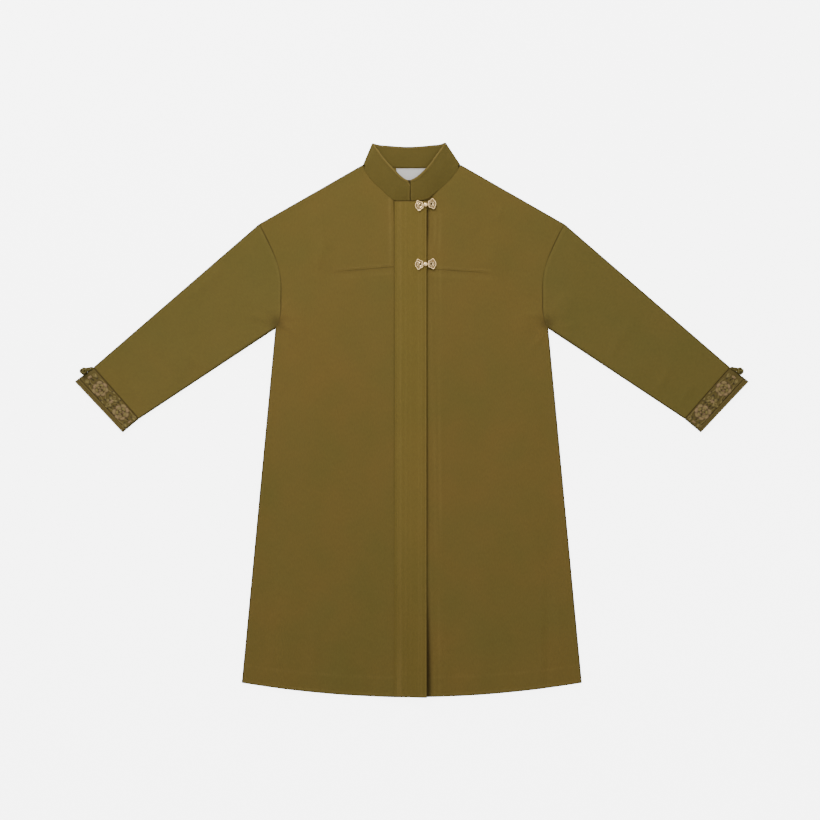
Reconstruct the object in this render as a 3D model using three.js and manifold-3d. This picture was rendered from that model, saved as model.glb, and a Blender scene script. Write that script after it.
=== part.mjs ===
// A long, straight overcoat with a stand collar, a lapped front band, chest yokes,
// dropped sleeves with banded cuffs, two metal bow clasps and a knot button on each cuff.
// It lies flat on its back, front upwards, collar towards +Y. Sizes are in millimetres.
import * as THREE from 'three';
import Module from 'manifold-3d';
import { mergeVertices } from 'three/addons/utils/BufferGeometryUtils.js';

const wasm = await Module();
wasm.setup();

// Cloth and seams
const CLOTH = 2.4;
const BAND_CLOTH = 3.6;
const COLLAR_CLOTH = 3.0;
const CUFF_CLOTH = 3.0;
const SEAM = 0.3;
const LAP_CLEARANCE = 0.6;
const FOLD_GAP = 2.5;
const REST_GAP = 0.6;
const GAP_REACH = 35;

// Distance from a folded edge at which the upper layer has its full lift
const LIFT_FADE = 45;

// Fall of the armhole and of the neckline for each step in from the shoulder fold
const SHOULDER_FALL = 0.88;
const NECK_FALL = 1.15;

// Outline of one half of the coat, measured out from its centre line
const HEM_CORNER = [340, -525];
const UNDERARM = [273, 182];
const SHOULDER = [305, 392];
const NECK = [98.2, 510.3];
const CUFF_SEAM_HIGH = [636, 105.7];
const CUFF_SEAM_LOW = [545, 2];
const CUFF_END_HIGH = [673.4, 77];
const CUFF_END_LOW = [577.5, -25];
const CUFF_EDGE_WIDTH = 11;
const HEM_Y = -554;
const HEM_RADIUS = 2000;
const BACK_NECK_Y = 504.3;
const BACK_NECK_RISE = 6.2;

// Front band
const BAND_LEFT = -34.3;
const BAND_RIGHT = 30;
const BAND_TOP = 437;
const UNDERLAP_EDGE = -30;
const UNDERLAP_TOP = { sideY: 350, centreY: BAND_TOP - 0.1 };
const FRONT_SEAM = -34.9;
const BAND_CURL = 9;
const BAND_CURL_START = -330;
const BAND_CURL_REACH = 220;
const BAND_CURL_FROM_X = -12;
const BAND_CURL_POWER = 1.3;
const LAP_RISE_REACH = 55;

// Lift of the front round the stiff neck
const NECK_LIFT = 2.4;
const NECK_LIFT_AT = [-2, 470];
const NECK_LIFT_REACH = 75;

// Chest yoke
const YOKE_SEAM_ROW = 'chest';
const YOKE_OUTER = { hem: 185, chest: 162, shoulder: 183 };

// Armhole, from the underarm up to the shoulder
const ARMHOLE = [
  { x: 273, y: 182 },
  { x: 268, y: 190 },
  { x: 263, y: 208 },
  { x: 261.5, y: 245 },
  { x: 262.5, y: 287 },
  { x: 269.5, y: 316 },
  { x: 282, y: 346 },
  { x: 294, y: 371 },
  { x: 305, y: 392 },
];

// Sections across the body: where each meets the side, its height at the centre, and
// how much of the hem's arc it keeps
const BODY_SECTIONS = [
  { name: 'hem', sideY: -525, centreY: -554, bow: 1 },
  { name: 'low skirt', sideY: -470, centreY: -492, bow: 0.75 },
  { name: 'skirt', sideY: -380, centreY: -394, bow: 0.5 },
  { name: 'thigh', sideY: -260, centreY: -268, bow: 0.25 },
  { name: 'hip', sideY: -120, centreY: -122, bow: 0 },
  { name: 'waist', sideY: 20, centreY: 22, bow: 0 },
  { name: 'rib', sideY: 120, centreY: 128, bow: 0 },
  { name: 'underarm', sideY: 182, centreY: 196, bow: 0 },
  { name: 'armhole foot', sideY: 190, centreY: 212, bow: 0 },
  { name: 'armhole low', sideY: 208, centreY: 234, bow: 0 },
  { name: 'armhole middle', sideY: 245, centreY: 268, bow: 0 },
  { name: 'chest', sideY: 287, centreY: 306, bow: 0 },
  { name: 'upper chest', sideY: 316, centreY: 345, bow: 0 },
  { name: 'collarbone', sideY: 346, centreY: 392, bow: 0 },
];

// Collar sections from the front slit out to the side fold, on the wearer's right and
// left: lower edge sewn to the neckline, free top edge, height of the top edge, and
// where the front's section that ends there meets the armhole
const COLLAR_RIGHT = [
  { seamX: -3.9, seamY: 437.6, topX: -4.4, topY: 478, topZ: 17 },
  { seamX: -20, seamY: 437.6, topX: -11, topY: 479.5, topZ: 16.8 },
  { seamX: -36, seamY: 438.6, topX: -22, topY: 487, topZ: 16.4, sideY: 352 },
  { seamX: -49, seamY: 449, topX: -29, topY: 494, topZ: 16, sideY: 358 },
  { seamX: -61, seamY: 460.5, topX: -37, topY: 502.5, topZ: 15.2, sideY: 364.5 },
  { seamX: -72, seamY: 470, topX: -45, topY: 511.5, topZ: 14, sideY: 371 },
  { seamX: -81, seamY: 479, topX: -54, topY: 522, topZ: 12.4, sideY: 377 },
  { seamX: -89, seamY: 490, topX: -63, topY: 534, topZ: 10.4, sideY: 382 },
  { seamX: -94.5, seamY: 500, topX: -71, topY: 545, topZ: 8, sideY: 386.5 },
];
const COLLAR_LEFT = [
  { seamX: -2.1, seamY: 437.6, topX: -1.6, topY: 478.3, topZ: 16.6 },
  { seamX: 16, seamY: 437.6, topX: 5, topY: 482, topZ: 16.6, sideY: 354 },
  { seamX: 33, seamY: 442, topX: 14, topY: 488.5, topZ: 16.4, sideY: 359.5 },
  { seamX: 46, seamY: 453, topX: 21, topY: 495, topZ: 16, sideY: 365 },
  { seamX: 58, seamY: 463, topX: 29, topY: 503, topZ: 15.2, sideY: 371 },
  { seamX: 69.5, seamY: 473, topX: 38, topY: 514, topZ: 14, sideY: 376 },
  { seamX: 79, seamY: 483, topX: 46, topY: 526, topZ: 12.4, sideY: 380 },
  { seamX: 87, seamY: 493, topX: 54, topY: 537, topZ: 10.4, sideY: 383.5 },
  { seamX: 92.5, seamY: 502, topX: 61, topY: 547, topZ: 8, sideY: 387 },
];
const COLLAR_FOLD_RIGHT = { seamX: -98, seamY: 510.8, topX: -79.5, topY: 552.8 };
const COLLAR_FOLD_LEFT = { seamX: 97.5, seamY: 511.3, topX: 68, topY: 554 };
const COLLAR_BACK = [
  { seamX: -90, topX: -70, topY: 551.2 },
  { seamX: -60, topX: -46, topY: 548.6 },
  { seamX: -30, topX: -26, topY: 546.9 },
  { seamX: 0, topX: -5, topY: 546.3 },
  { seamX: 30, topX: 18, topY: 547.4 },
  { seamX: 60, topX: 40, topY: 549.6 },
  { seamX: 90, topX: 60, topY: 552.4 },
];
const COLLAR_TO_NECK_GAP = 0.55;
const COLLAR_FOLD_HALF_GAP = 0.4;
const COLLAR_BULGE = 1.4;

// Heights between which the collar's bulge comes in, and distances from the centre line
// over which its seam passes from the band to the front
const COLLAR_BULGE_RISE = { from: 6, to: 10 };
const COLLAR_SEAM_PASS = { from: BAND_RIGHT - 4, to: BAND_RIGHT + 30 };

// Back between the chest and the shoulder, and how far its sections drop towards the neck
const BACK_BLADE = { sideY: 371, neckY: 462, centreY: 456 };
const BACK_NECK_SHARE = 0.2;

// Broad soft folds of each front: a ridge from one point to another, and the shares of
// its length over which it rises and fades
const FOLD_RISE = { from: -0.25, to: 0.1 };
const FOLD_FADE = { from: 0.25, to: 1.15 };
const FRONT_FOLDS = [
  { name: 'outer skirt', x0: 262, y0: -540, x1: 226, y1: -150, width: 34, height: 1.5 },
  { name: 'inner skirt', x0: 142, y0: -552, x1: 128, y1: -250, width: 30, height: 1.2 },
  { name: 'underarm', x0: 255, y0: 212, x1: 196, y1: 168, width: 22, height: 1.6 },
  { name: 'yoke side', x0: 172, y0: 310, x1: 188, y1: 430, width: 20, height: 1.3 },
];
const SLEEVE_FOLDS = [
  { name: 'underarm', x0: 292, y0: 205, x1: 330, y1: 262, width: 16, height: 1.6 },
  { name: 'elbow', x0: 452, y0: 82, x1: 486, y1: 160, width: 22, height: 1.3 },
];

const SLEEVE_FOLDS_FROM_X = 265;

// Sleeve sections as shares of the way from armhole to cuff
const SLEEVE_SECTIONS = [0, 0.06, 0.15, 0.27, 0.4, 0.54, 0.68, 0.81, 0.92, 1];
const SLEEVE_START = 0.6;
const CUFF_START = 0.5;
const CUFF_EDGE_TURN = 4;

// Neck label
const LABEL = { left: -31, right: 28, top: 500, bottom: 464, thickness: 1 };

// Bow clasps: centre of the ball, and how far the bow is turned
const CLASPS = [
  { name: 'upper', x: 27.6, y: 429.6, turn: 8.5 },
  { name: 'lower', x: 27.6, y: 311.2, turn: 2.5 },
];
const CLASP_PLATE = 2.2;
const CLASP_HALF = { centre: 12.9, neckEnd: 4.9, neckHalf: 1.9 };
const CLASP_NECK = { from: 1.9, to: 5.9 };
const CLASP_BALL = { radius: 4.5, height: 2.7, around: 16, rings: 9 };
const CLASP_OUTLINE = { sweep: 150, step: 10 };
const CLASP_SQUEEZE = 0.94;
const CLASP_LOBES = [
  { angle: 0, reach: 0.4, spread: 0.55 },
  { angle: 76, reach: 2.9, spread: 0.3 },
  { angle: 142, reach: 1.3, spread: 0.3 },
];
const CLASP_BASE_RADIUS = 8.5;
const CLASP_OVAL = { x: 11.6, halfWide: 1.7, halfTall: 2.6 };
const CLASP_SLOTS = { inner: 5.4, outer: 7.4, from: 8, to: 46, steps: 5 };

// Cuff knot button and its loop
const KNOT = { x: 655, y: 97.8, z: 12.1, radius: 8 };
const KNOT_STRANDS = 5;
const KNOT_TWIST = 3;
const KNOT_FACES = { around: 20, rings: 12 };
const KNOT_RELIEF = 0.5;
const LOOP = { x0: 648.4, y0: 101.1, x1: 638.8, y1: 105.9, wide0: 4.4, wide1: 2.6, z: 7.4 };
const LOOP_HALF_HEIGHT = 2.4;
const LOOP_END_HEIGHT = 0.8;
const LOOP_SIDES = 12;

// Sections along the loop, and how full its cord is at each
const LOOP_SECTIONS = [
  { share: 0, swell: 0.55 },
  { share: 0.1, swell: 0.95 },
  { share: 0.5, swell: 1 },
  { share: 0.9, swell: 0.9 },
  { share: 1, swell: 0.5 },
];

const FINISHES = {
  coat: new THREE.MeshStandardMaterial({ color: 0x736130, roughness: 0.92, metalness: 0 }),
  band: new THREE.MeshStandardMaterial({ color: 0x7a6734, roughness: 0.9, metalness: 0 }),
  cuff: new THREE.MeshStandardMaterial({ color: 0x6e5c2e, roughness: 0.9, metalness: 0 }),
  label: new THREE.MeshStandardMaterial({ color: 0xd9d2c0, roughness: 0.85, metalness: 0 }),
  clasp: new THREE.MeshStandardMaterial({ color: 0xd9b184, roughness: 0.32, metalness: 1 }),
};

const mix = (a, b, share) => a + (b - a) * share;
const between = (from, to, share) => from.map((value, axis) => mix(value, to[axis], share));

function smoothStep(low, high, value) {
  const share = Math.min(1, Math.max(0, (value - low) / (high - low)));
  return share * share * (3 - 2 * share);
}

// The folded edges of the coat, each a line with a point on the cloth's side of it
const FOLD_LINES = [
  { from: HEM_CORNER, to: UNDERARM, cloth: [0, 0] },
  { from: UNDERARM, to: CUFF_SEAM_LOW, cloth: SHOULDER },
  { from: CUFF_SEAM_LOW, to: CUFF_END_LOW, cloth: SHOULDER },
  { from: SHOULDER, to: NECK, cloth: UNDERARM },
  { from: SHOULDER, to: CUFF_SEAM_HIGH, cloth: UNDERARM },
  { from: CUFF_SEAM_HIGH, to: CUFF_END_HIGH, cloth: UNDERARM },
].map((line) => ({ ...line, inward: inwardNormal(line) }));

function inwardNormal({ from, to, cloth }) {
  const run = [to[0] - from[0], to[1] - from[1]];
  const length = Math.hypot(...run);
  const normal = [run[1] / length, -run[0] / length];
  const facing = (cloth[0] - from[0]) * normal[0] + (cloth[1] - from[1]) * normal[1];
  return facing > 0 ? normal : [-normal[0], -normal[1]];
}

// The nearest folded edge of the half that the point is in: distance, and way inwards
function nearestFold(x, y) {
  let best = { distance: Infinity };
  for (const line of FOLD_LINES) {
    const run = [line.to[0] - line.from[0], line.to[1] - line.from[1]];
    const length2 = run[0] ** 2 + run[1] ** 2;
    const along = ((x - line.from[0]) * run[0] + (y - line.from[1]) * run[1]) / length2;
    const foot = between(line.from, line.to, Math.min(1, Math.max(0, along)));
    const away = [x - foot[0], y - foot[1]];
    const distance = Math.hypot(...away);
    if (distance < best.distance - 1e-9) {
      const inward = distance > 0.01 ? away.map((value) => value / distance) : line.inward;
      best = { distance, foot, inward };
    }
  }
  return best;
}

function foldHeight(folds, x, y) {
  let height = 0;
  for (const fold of folds) {
    const run = [fold.x1 - fold.x0, fold.y1 - fold.y0];
    const length2 = run[0] ** 2 + run[1] ** 2;
    const along = ((x - fold.x0) * run[0] + (y - fold.y0) * run[1]) / length2;
    const across = ((x - fold.x0) * run[1] - (y - fold.y0) * run[0]) / Math.sqrt(length2);
    const taper = 1 - smoothStep(FOLD_FADE.from, FOLD_FADE.to, along);
    const start = smoothStep(FOLD_RISE.from, FOLD_RISE.to, along);
    height += fold.height * taper * start * Math.exp(-((across / fold.width) ** 2));
  }
  return height;
}

// Height of the upper layer over the lower one, away from the folded edges
function lift(hand, x, y) {
  const outward = Math.abs(x);
  const neck = Math.hypot(x - NECK_LIFT_AT[0], y - NECK_LIFT_AT[1]) / NECK_LIFT_REACH;
  let height = NECK_LIFT * Math.exp(-0.5 * neck ** 2);
  height += foldHeight(outward > SLEEVE_FOLDS_FROM_X ? SLEEVE_FOLDS : FRONT_FOLDS, outward, y);
  if (hand < 0) {
    const rise = CLOTH + LAP_CLEARANCE;
    height += rise * smoothStep(FRONT_SEAM - LAP_RISE_REACH, FRONT_SEAM, x);
  }
  return height;
}

// One point of cloth seen from above: the outer and inner face of the layer there.
// Next to a folded edge the layer turns down, or up, round a half circle.
function clothPoint(hand, x, y, layer, cloth = CLOTH) {
  const fold = nearestFold(Math.abs(x), y);
  const radius = cloth + FOLD_GAP / 2;
  if (fold.distance < radius) {
    const turn = Math.acos(1 - fold.distance / radius);
    const innerRadius = radius - cloth;
    const innerInset = cloth + innerRadius * (1 - Math.cos(turn));
    const split = (layer * SEAM) / 2;
    const foot = [hand * fold.foot[0], fold.foot[1]];
    const inward = [hand * fold.inward[0], fold.inward[1]];
    const at = (inset, height) => [
      foot[0] + inward[0] * inset,
      foot[1] + inward[1] * inset,
      radius + layer * height + (height < SEAM ? split : 0),
    ];
    return {
      outer: at(fold.distance, radius * Math.sin(turn)),
      inner: at(innerInset, innerRadius * Math.sin(turn)),
    };
  }
  if (layer < 0) {
    return { outer: [x, y, 0], inner: [x, y, cloth] };
  }
  const near = Math.exp(-(fold.distance - radius) / GAP_REACH);
  const fade = smoothStep(radius, LIFT_FADE, fold.distance);
  const under = cloth + REST_GAP + (FOLD_GAP - REST_GAP) * near + fade * lift(hand, x, y);
  return { outer: [x, y, under + cloth], inner: [x, y, under] };
}

// A closed wall between two faces given as rows of points. Only the cells that belong
// to the piece are used, and a rim closes every open side.
function wallGeometry(outer, inner, { ring = false, belongs = () => true } = {}) {
  const rows = outer.length;
  const columns = outer[0].length;
  const points = [];
  const faces = [];
  const place = (face, row, column) => {
    points.push(face[row][column % columns]);
    return points.length - 1;
  };
  const quad = (a, b, c, d) => faces.push([a, b, c], [a, c, d]);
  const isIn = (row, column) => {
    const wrapped = ring ? (column + columns) % columns : column;
    const last = ring ? columns : columns - 1;
    return row >= 0 && row < rows - 1 && wrapped >= 0 && wrapped < last && belongs(row, wrapped);
  };
  const rim = (rowA, columnA, rowB, columnB) => {
    quad(
      place(outer, rowB, columnB),
      place(outer, rowA, columnA),
      place(inner, rowA, columnA),
      place(inner, rowB, columnB),
    );
  };
  for (let row = 0; row < rows - 1; row += 1) {
    for (let column = 0; column < (ring ? columns : columns - 1); column += 1) {
      if (isIn(row, column)) {
        const corners = [
          [row, column],
          [row, column + 1],
          [row + 1, column + 1],
          [row + 1, column],
        ];
        quad(...corners.map(([r, c]) => place(outer, r, c)));
        quad(...corners.toReversed().map(([r, c]) => place(inner, r, c)));
        if (!isIn(row - 1, column)) rim(row, column, row, column + 1);
        if (!isIn(row + 1, column)) rim(row + 1, column + 1, row + 1, column);
        if (!isIn(row, column - 1)) rim(row + 1, column, row, column);
        if (!isIn(row, column + 1)) rim(row, column + 1, row + 1, column + 1);
      }
    }
  }
  return closedGeometry(points, faces);
}

// Makes one closed geometry whose faces point out, with shared vertices merged
function closedGeometry(points, faces) {
  let volume = 0;
  for (const [a, b, c] of faces) {
    const [p, q, r] = [points[a], points[b], points[c]].map((v) => new THREE.Vector3(...v));
    volume += p.dot(q.cross(r));
  }
  const order = volume < 0 ? (face) => face.toReversed() : (face) => face;
  const loose = new THREE.BufferGeometry();
  loose.setAttribute('position', new THREE.Float32BufferAttribute(points.flat(), 3));
  loose.setIndex(faces.flatMap(order));
  const geometry = mergeVertices(loose, 1e-3);
  geometry.computeVertexNormals();
  return geometry;
}

const faceRows = (grid, face) => grid.map((row) => row.map((point) => point[face]));

function armholeX(y) {
  const next = Math.max(1, ARMHOLE.findIndex((point) => point.y >= y - 1e-9));
  const [low, high] = [ARMHOLE[next - 1], ARMHOLE[next]];
  return mix(low.x, high.x, (y - low.y) / (high.y - low.y));
}

function sidePoint(y) {
  if (y > UNDERARM[1]) {
    return [armholeX(y), y];
  }
  const share = (y - HEM_CORNER[1]) / (UNDERARM[1] - HEM_CORNER[1]);
  return between(HEM_CORNER, UNDERARM, share);
}

const hemArc = (x) => HEM_Y + x ** 2 / (2 * HEM_RADIUS);

const backNeckY = (x) => BACK_NECK_Y + BACK_NECK_RISE * (x / NECK[0]) ** 2;

// Distances from a folded edge at which its turn is drawn
function foldSteps(cloth = CLOTH) {
  const radius = cloth + FOLD_GAP / 2;
  return [0, 30, 60, 90].map((angle) => radius * (1 - Math.cos(THREE.MathUtils.degToRad(angle))));
}

// The front's neckline point that faces a collar section
function necklinePoint(section) {
  const run = [section.seamX - section.topX, section.seamY - section.topY];
  const length = Math.hypot(...run);
  const gap = COLLAR_TO_NECK_GAP / length;
  return [section.seamX + run[0] * gap, section.seamY + run[1] * gap];
}

// Sections of one front, each from its side point to its centre point
function frontSections(hand) {
  const centreX = hand < 0 ? FRONT_SEAM : UNDERLAP_EDGE;
  const sections = BODY_SECTIONS.map(({ name, sideY, centreY, bow }) => {
    const side = sidePoint(sideY);
    return { name, side: [hand * side[0], side[1]], centre: [centreX, centreY], bow };
  });
  sections[0].centre[1] = hemArc(centreX);
  if (hand > 0) {
    const side = sidePoint(UNDERLAP_TOP.sideY);
    sections.push({ name: 'band top', side, centre: [centreX, UNDERLAP_TOP.centreY], bow: 0 });
  }
  for (const section of hand < 0 ? COLLAR_RIGHT : COLLAR_LEFT) {
    if (section.sideY) {
      const side = sidePoint(section.sideY);
      const centre = necklinePoint(section);
      sections.push({ name: 'neck', side: [hand * side[0], side[1]], centre, bow: 0 });
    }
  }
  const last = sections.at(-1).centre;
  const neck = [hand * NECK[0], NECK[1]];
  const towards = [last[0] - neck[0], last[1] - neck[1]];
  const length = Math.hypot(...towards);
  for (const step of foldSteps().toReversed()) {
    const side = sidePoint(SHOULDER[1] - step * SHOULDER_FALL);
    const centre = [neck[0] + (towards[0] / length) * step, neck[1] + (towards[1] / length) * step];
    sections.push({ name: 'shoulder', side: [hand * side[0], side[1]], centre, bow: 0 });
  }
  return sections;
}

// Shares along a section from the side to the yoke's outer edge, and on to the centre
const OUTER_SHARES = [0.22, 0.45, 0.72];
const INNER_SHARES = [0.16, 0.32, 0.48, 0.64, 0.8, 0.91, 1];
const YOKE_COLUMN = foldSteps().length + OUTER_SHARES.length;
const CHEST_ROW = BODY_SECTIONS.findIndex((section) => section.name === YOKE_SEAM_ROW);
const CHEST_Y = BODY_SECTIONS[CHEST_ROW].sideY;

function yokeOuterX(section) {
  const y = section.side[1];
  if (y < CHEST_Y) {
    return mix(YOKE_OUTER.hem, YOKE_OUTER.chest, (y - HEM_CORNER[1]) / (CHEST_Y - HEM_CORNER[1]));
  }
  return mix(YOKE_OUTER.chest, YOKE_OUTER.shoulder, (y - CHEST_Y) / (SHOULDER[1] - CHEST_Y));
}

function sectionPoint(section, share) {
  const point = between(section.side, section.centre, share);
  const chord = mix(hemArc(section.side[0]), hemArc(section.centre[0]), share);
  point[1] += section.bow * (hemArc(point[0]) - chord);
  return point;
}

// Points of one front; a yoke's own copy keeps clear of the front along its two seams
function frontGrid(hand, seamShift) {
  const sections = frontSections(hand);
  return sections.map((section, row) => {
    const length = Math.hypot(
      section.centre[0] - section.side[0],
      section.centre[1] - section.side[1],
    );
    const yoke =
      (Math.abs(section.side[0]) - yokeOuterX(section)) /
      Math.abs(section.side[0] - section.centre[0]);
    const shares = [
      ...foldSteps().map((step) => step / length),
      ...OUTER_SHARES.map((share) => share * yoke),
      yoke + seamShift / length,
      ...INNER_SHARES.map((share) => mix(yoke, 1, share)),
    ];
    return shares.map((share) => {
      const [x, y] = sectionPoint(section, share);
      return clothPoint(hand, x, y + (row === CHEST_ROW ? seamShift : 0), 1);
    });
  });
}

function frontGeometry(hand) {
  const grid = frontGrid(hand, 0);
  const belongs = (row, column) => row < CHEST_ROW || column < YOKE_COLUMN;
  return wallGeometry(faceRows(grid, 'outer'), faceRows(grid, 'inner'), { belongs });
}

function yokeGeometry(hand) {
  const grid = frontGrid(hand, SEAM);
  const belongs = (row, column) => row >= CHEST_ROW && column >= YOKE_COLUMN;
  return wallGeometry(faceRows(grid, 'outer'), faceRows(grid, 'inner'), { belongs });
}

// Half a section of the back: its side point, its point below the neck, its centre
function backSections() {
  const sections = BODY_SECTIONS.map(({ sideY, centreY, bow }) => ({
    side: sidePoint(sideY),
    neckY: mix(centreY, sideY, BACK_NECK_SHARE),
    centreY,
    bow,
  }));
  sections[0].centreY = HEM_Y;
  sections[0].neckY = hemArc(NECK[0]);
  sections.push({ ...BACK_BLADE, side: sidePoint(BACK_BLADE.sideY), bow: 0 });
  for (const step of foldSteps().toReversed()) {
    const side = sidePoint(SHOULDER[1] - step * SHOULDER_FALL);
    sections.push({ side, neckY: NECK[1] - step * NECK_FALL, neckline: step, bow: 0 });
  }
  return sections;
}

const BACK_SIDE_SHARES = [0.12, 0.3, 0.5, 0.75, 1];
const BACK_NECK_STATIONS = [90, 60, 30, 0];

function backHalfPoints(section) {
  const neck = [NECK[0], section.neckY];
  const length = Math.hypot(section.side[0] - neck[0], section.side[1] - neck[1]);
  const shares = [...foldSteps().map((step) => step / length), ...BACK_SIDE_SHARES];
  const outerPart = shares.map((share) => {
    const point = between(section.side, neck, share);
    const chord = mix(hemArc(section.side[0]), hemArc(NECK[0]), share);
    return [point[0], point[1] + section.bow * (hemArc(point[0]) - chord)];
  });
  const neckPart = BACK_NECK_STATIONS.map((x) => {
    if (section.neckline !== undefined) {
      return [x, backNeckY(x) - COLLAR_TO_NECK_GAP - section.neckline];
    }
    const share = 1 - x / NECK[0];
    const straight = mix(section.neckY, section.centreY, share);
    return [x, section.bow === 1 ? hemArc(x) : straight];
  });
  return [...outerPart, ...neckPart];
}

function backGeometry() {
  const grid = backSections().map((section) => {
    const half = backHalfPoints(section);
    const right = half.map(([x, y]) => clothPoint(1, x, y, -1));
    const left = half.slice(0, -1).map(([x, y]) => clothPoint(-1, -x, y, -1));
    return [...left, ...right.toReversed()];
  });
  return wallGeometry(faceRows(grid, 'outer'), faceRows(grid, 'inner'));
}

// The band's free edge curls up towards the hem
function bandCurl(x, y) {
  const down = smoothStep(0, BAND_CURL_REACH, BAND_CURL_START - y);
  return BAND_CURL * down * smoothStep(BAND_CURL_FROM_X, BAND_RIGHT, x) ** BAND_CURL_POWER;
}

function bandUnder(x, y) {
  return clothPoint(1, x, y, 1).outer[2] + LAP_CLEARANCE + bandCurl(x, y);
}

const BAND_STATIONS_X = [BAND_LEFT, -22, -8, 6, 18, 25, BAND_RIGHT];
const BAND_STATIONS_Y = [-500, -440, -380, -300, -180, -40, 100, 220, 306, 345, 385, 415, BAND_TOP];

function bandGeometry() {
  const rows = [HEM_Y, ...BAND_STATIONS_Y];
  const grid = rows.map((rowY) =>
    BAND_STATIONS_X.map((x) => {
      const y = rowY === HEM_Y ? hemArc(x) : rowY;
      const under = bandUnder(x, y);
      return { outer: [x, y, under + BAND_CLOTH], inner: [x, y, under] };
    }),
  );
  return wallGeometry(faceRows(grid, 'outer'), faceRows(grid, 'inner'));
}

// Height of the middle of the cloth that the collar's lower edge meets
function neckSeamHeight(hand, section) {
  const { seamX: x, seamY: y } = section;
  const front = clothPoint(hand, x, y, 1).outer[2] - CLOTH / 2;
  const band = bandUnder(Math.min(x, BAND_RIGHT), BAND_TOP) + BAND_CLOTH / 2;
  const { from, to } = COLLAR_SEAM_PASS;
  return mix(band, front, smoothStep(from, to, Math.abs(x)));
}

// Sections of the collar round a side fold, on a half circle from front to back
function collarFoldSections(fold, hand) {
  const radius = COLLAR_CLOTH / 2 + COLLAR_FOLD_HALF_GAP;
  return [0, 45, 90, 135, 180].map((angle) => {
    const turn = THREE.MathUtils.degToRad(angle);
    const inset = radius * (1 - Math.sin(turn)) + COLLAR_CLOTH / 2;
    const height = COLLAR_CLOTH / 2 + radius * (1 + Math.cos(turn));
    return {
      seam: [fold.seamX - hand * inset, fold.seamY, height],
      top: [fold.topX - hand * inset, fold.topY, height],
    };
  });
}

function collarSections() {
  const front = (hand, table) =>
    table.map((section) => ({
      seam: [section.seamX, section.seamY, neckSeamHeight(hand, section)],
      top: [section.topX, section.topY, section.topZ],
    }));
  const back = COLLAR_BACK.map(({ seamX, topX, topY }) => ({
    seam: [seamX, backNeckY(seamX), COLLAR_CLOTH / 2],
    top: [topX, topY, COLLAR_CLOTH / 2],
  }));
  return [
    ...front(-1, COLLAR_RIGHT),
    ...collarFoldSections(COLLAR_FOLD_RIGHT, -1),
    ...back,
    ...collarFoldSections(COLLAR_FOLD_LEFT, 1).toReversed(),
    ...front(1, COLLAR_LEFT).toReversed(),
  ];
}

const COLLAR_SHARES = [0, 0.25, 0.5, 0.75, 1];

function collarGeometry() {
  const sections = collarSections();
  const middle = sections.map(({ seam, top }) =>
    COLLAR_SHARES.map((share) => {
      const point = between(seam, top, share);
      const bulge = COLLAR_BULGE * Math.sin(Math.PI * share);
      point[2] += bulge * smoothStep(COLLAR_BULGE_RISE.from, COLLAR_BULGE_RISE.to, point[2]);
      return new THREE.Vector3(...point);
    }),
  );
  const faces = { outer: [], inner: [] };
  middle.forEach((row, index) => {
    const before = middle[Math.max(0, index - 1)];
    const after = middle[Math.min(middle.length - 1, index + 1)];
    const pairs = row.map((point, column) => {
      const along = after[column].clone().sub(before[column]);
      const low = row[Math.max(0, column - 1)];
      const up = row[Math.min(row.length - 1, column + 1)].clone().sub(low);
      const normal = along.cross(up).normalize().multiplyScalar(COLLAR_CLOTH / 2);
      return [point.clone().sub(normal).toArray(), point.clone().add(normal).toArray()];
    });
    faces.outer.push(pairs.map(([outer]) => outer));
    faces.inner.push(pairs.map(([, inner]) => inner));
  });
  return wallGeometry(faces.outer, faces.inner);
}

// A flattened tube: each section runs from an upper to a lower folded edge and back
function tubeGeometry(hand, sections, shares, cloth, bulge = () => 0) {
  const grid = sections.map(({ upper, lower, atArmhole }) => {
    const length = Math.hypot(upper[0] - lower[0], upper[1] - lower[1]);
    const steps = foldSteps(cloth).map((step) => step / length);
    const stations = [...steps, ...shares, ...steps.map((step) => 1 - step).toReversed()];
    const points = stations.map((share) => {
      const [x, y] = between(upper, lower, share);
      return [hand * (x + bulge(share) * atArmhole ** 2), y];
    });
    const over = points.map(([x, y]) => clothPoint(hand, x, y, 1, cloth));
    const below = points.slice(1, -1).map(([x, y]) => clothPoint(hand, x, y, -1, cloth));
    return [...over, ...below.toReversed()];
  });
  for (const row of grid) {
    const radius = cloth + FOLD_GAP / 2;
    for (const column of [0, shares.length + 2 * foldSteps(cloth).length - 1]) {
      row[column].outer[2] = radius;
      row[column].inner[2] = radius;
    }
  }
  return wallGeometry(faceRows(grid, 'outer'), faceRows(grid, 'inner'), { ring: true });
}

function moved(from, to, distance) {
  const length = Math.hypot(to[0] - from[0], to[1] - from[1]);
  return between(from, to, distance / length);
}

function sleeveGeometry(hand) {
  const upperStart = moved(SHOULDER, CUFF_SEAM_HIGH, SLEEVE_START);
  const lowerStart = moved(UNDERARM, CUFF_SEAM_LOW, SLEEVE_START);
  const span = SHOULDER[1] - UNDERARM[1];
  const shares = ARMHOLE.slice(1, -1).map((point) => (SHOULDER[1] - point.y) / span).toReversed();
  const bulge = (share) => {
    const y = mix(SHOULDER[1], UNDERARM[1], share);
    return armholeX(y) - mix(SHOULDER[0], UNDERARM[0], share);
  };
  const sections = SLEEVE_SECTIONS.map((share) => ({
    upper: between(upperStart, CUFF_SEAM_HIGH, share),
    lower: between(lowerStart, CUFF_SEAM_LOW, share),
    atArmhole: 1 - share,
  }));
  return tubeGeometry(hand, sections, shares, CLOTH, bulge);
}

const CUFF_SHARES = [0.1, 0.26, 0.42, 0.58, 0.74, 0.9];

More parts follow.
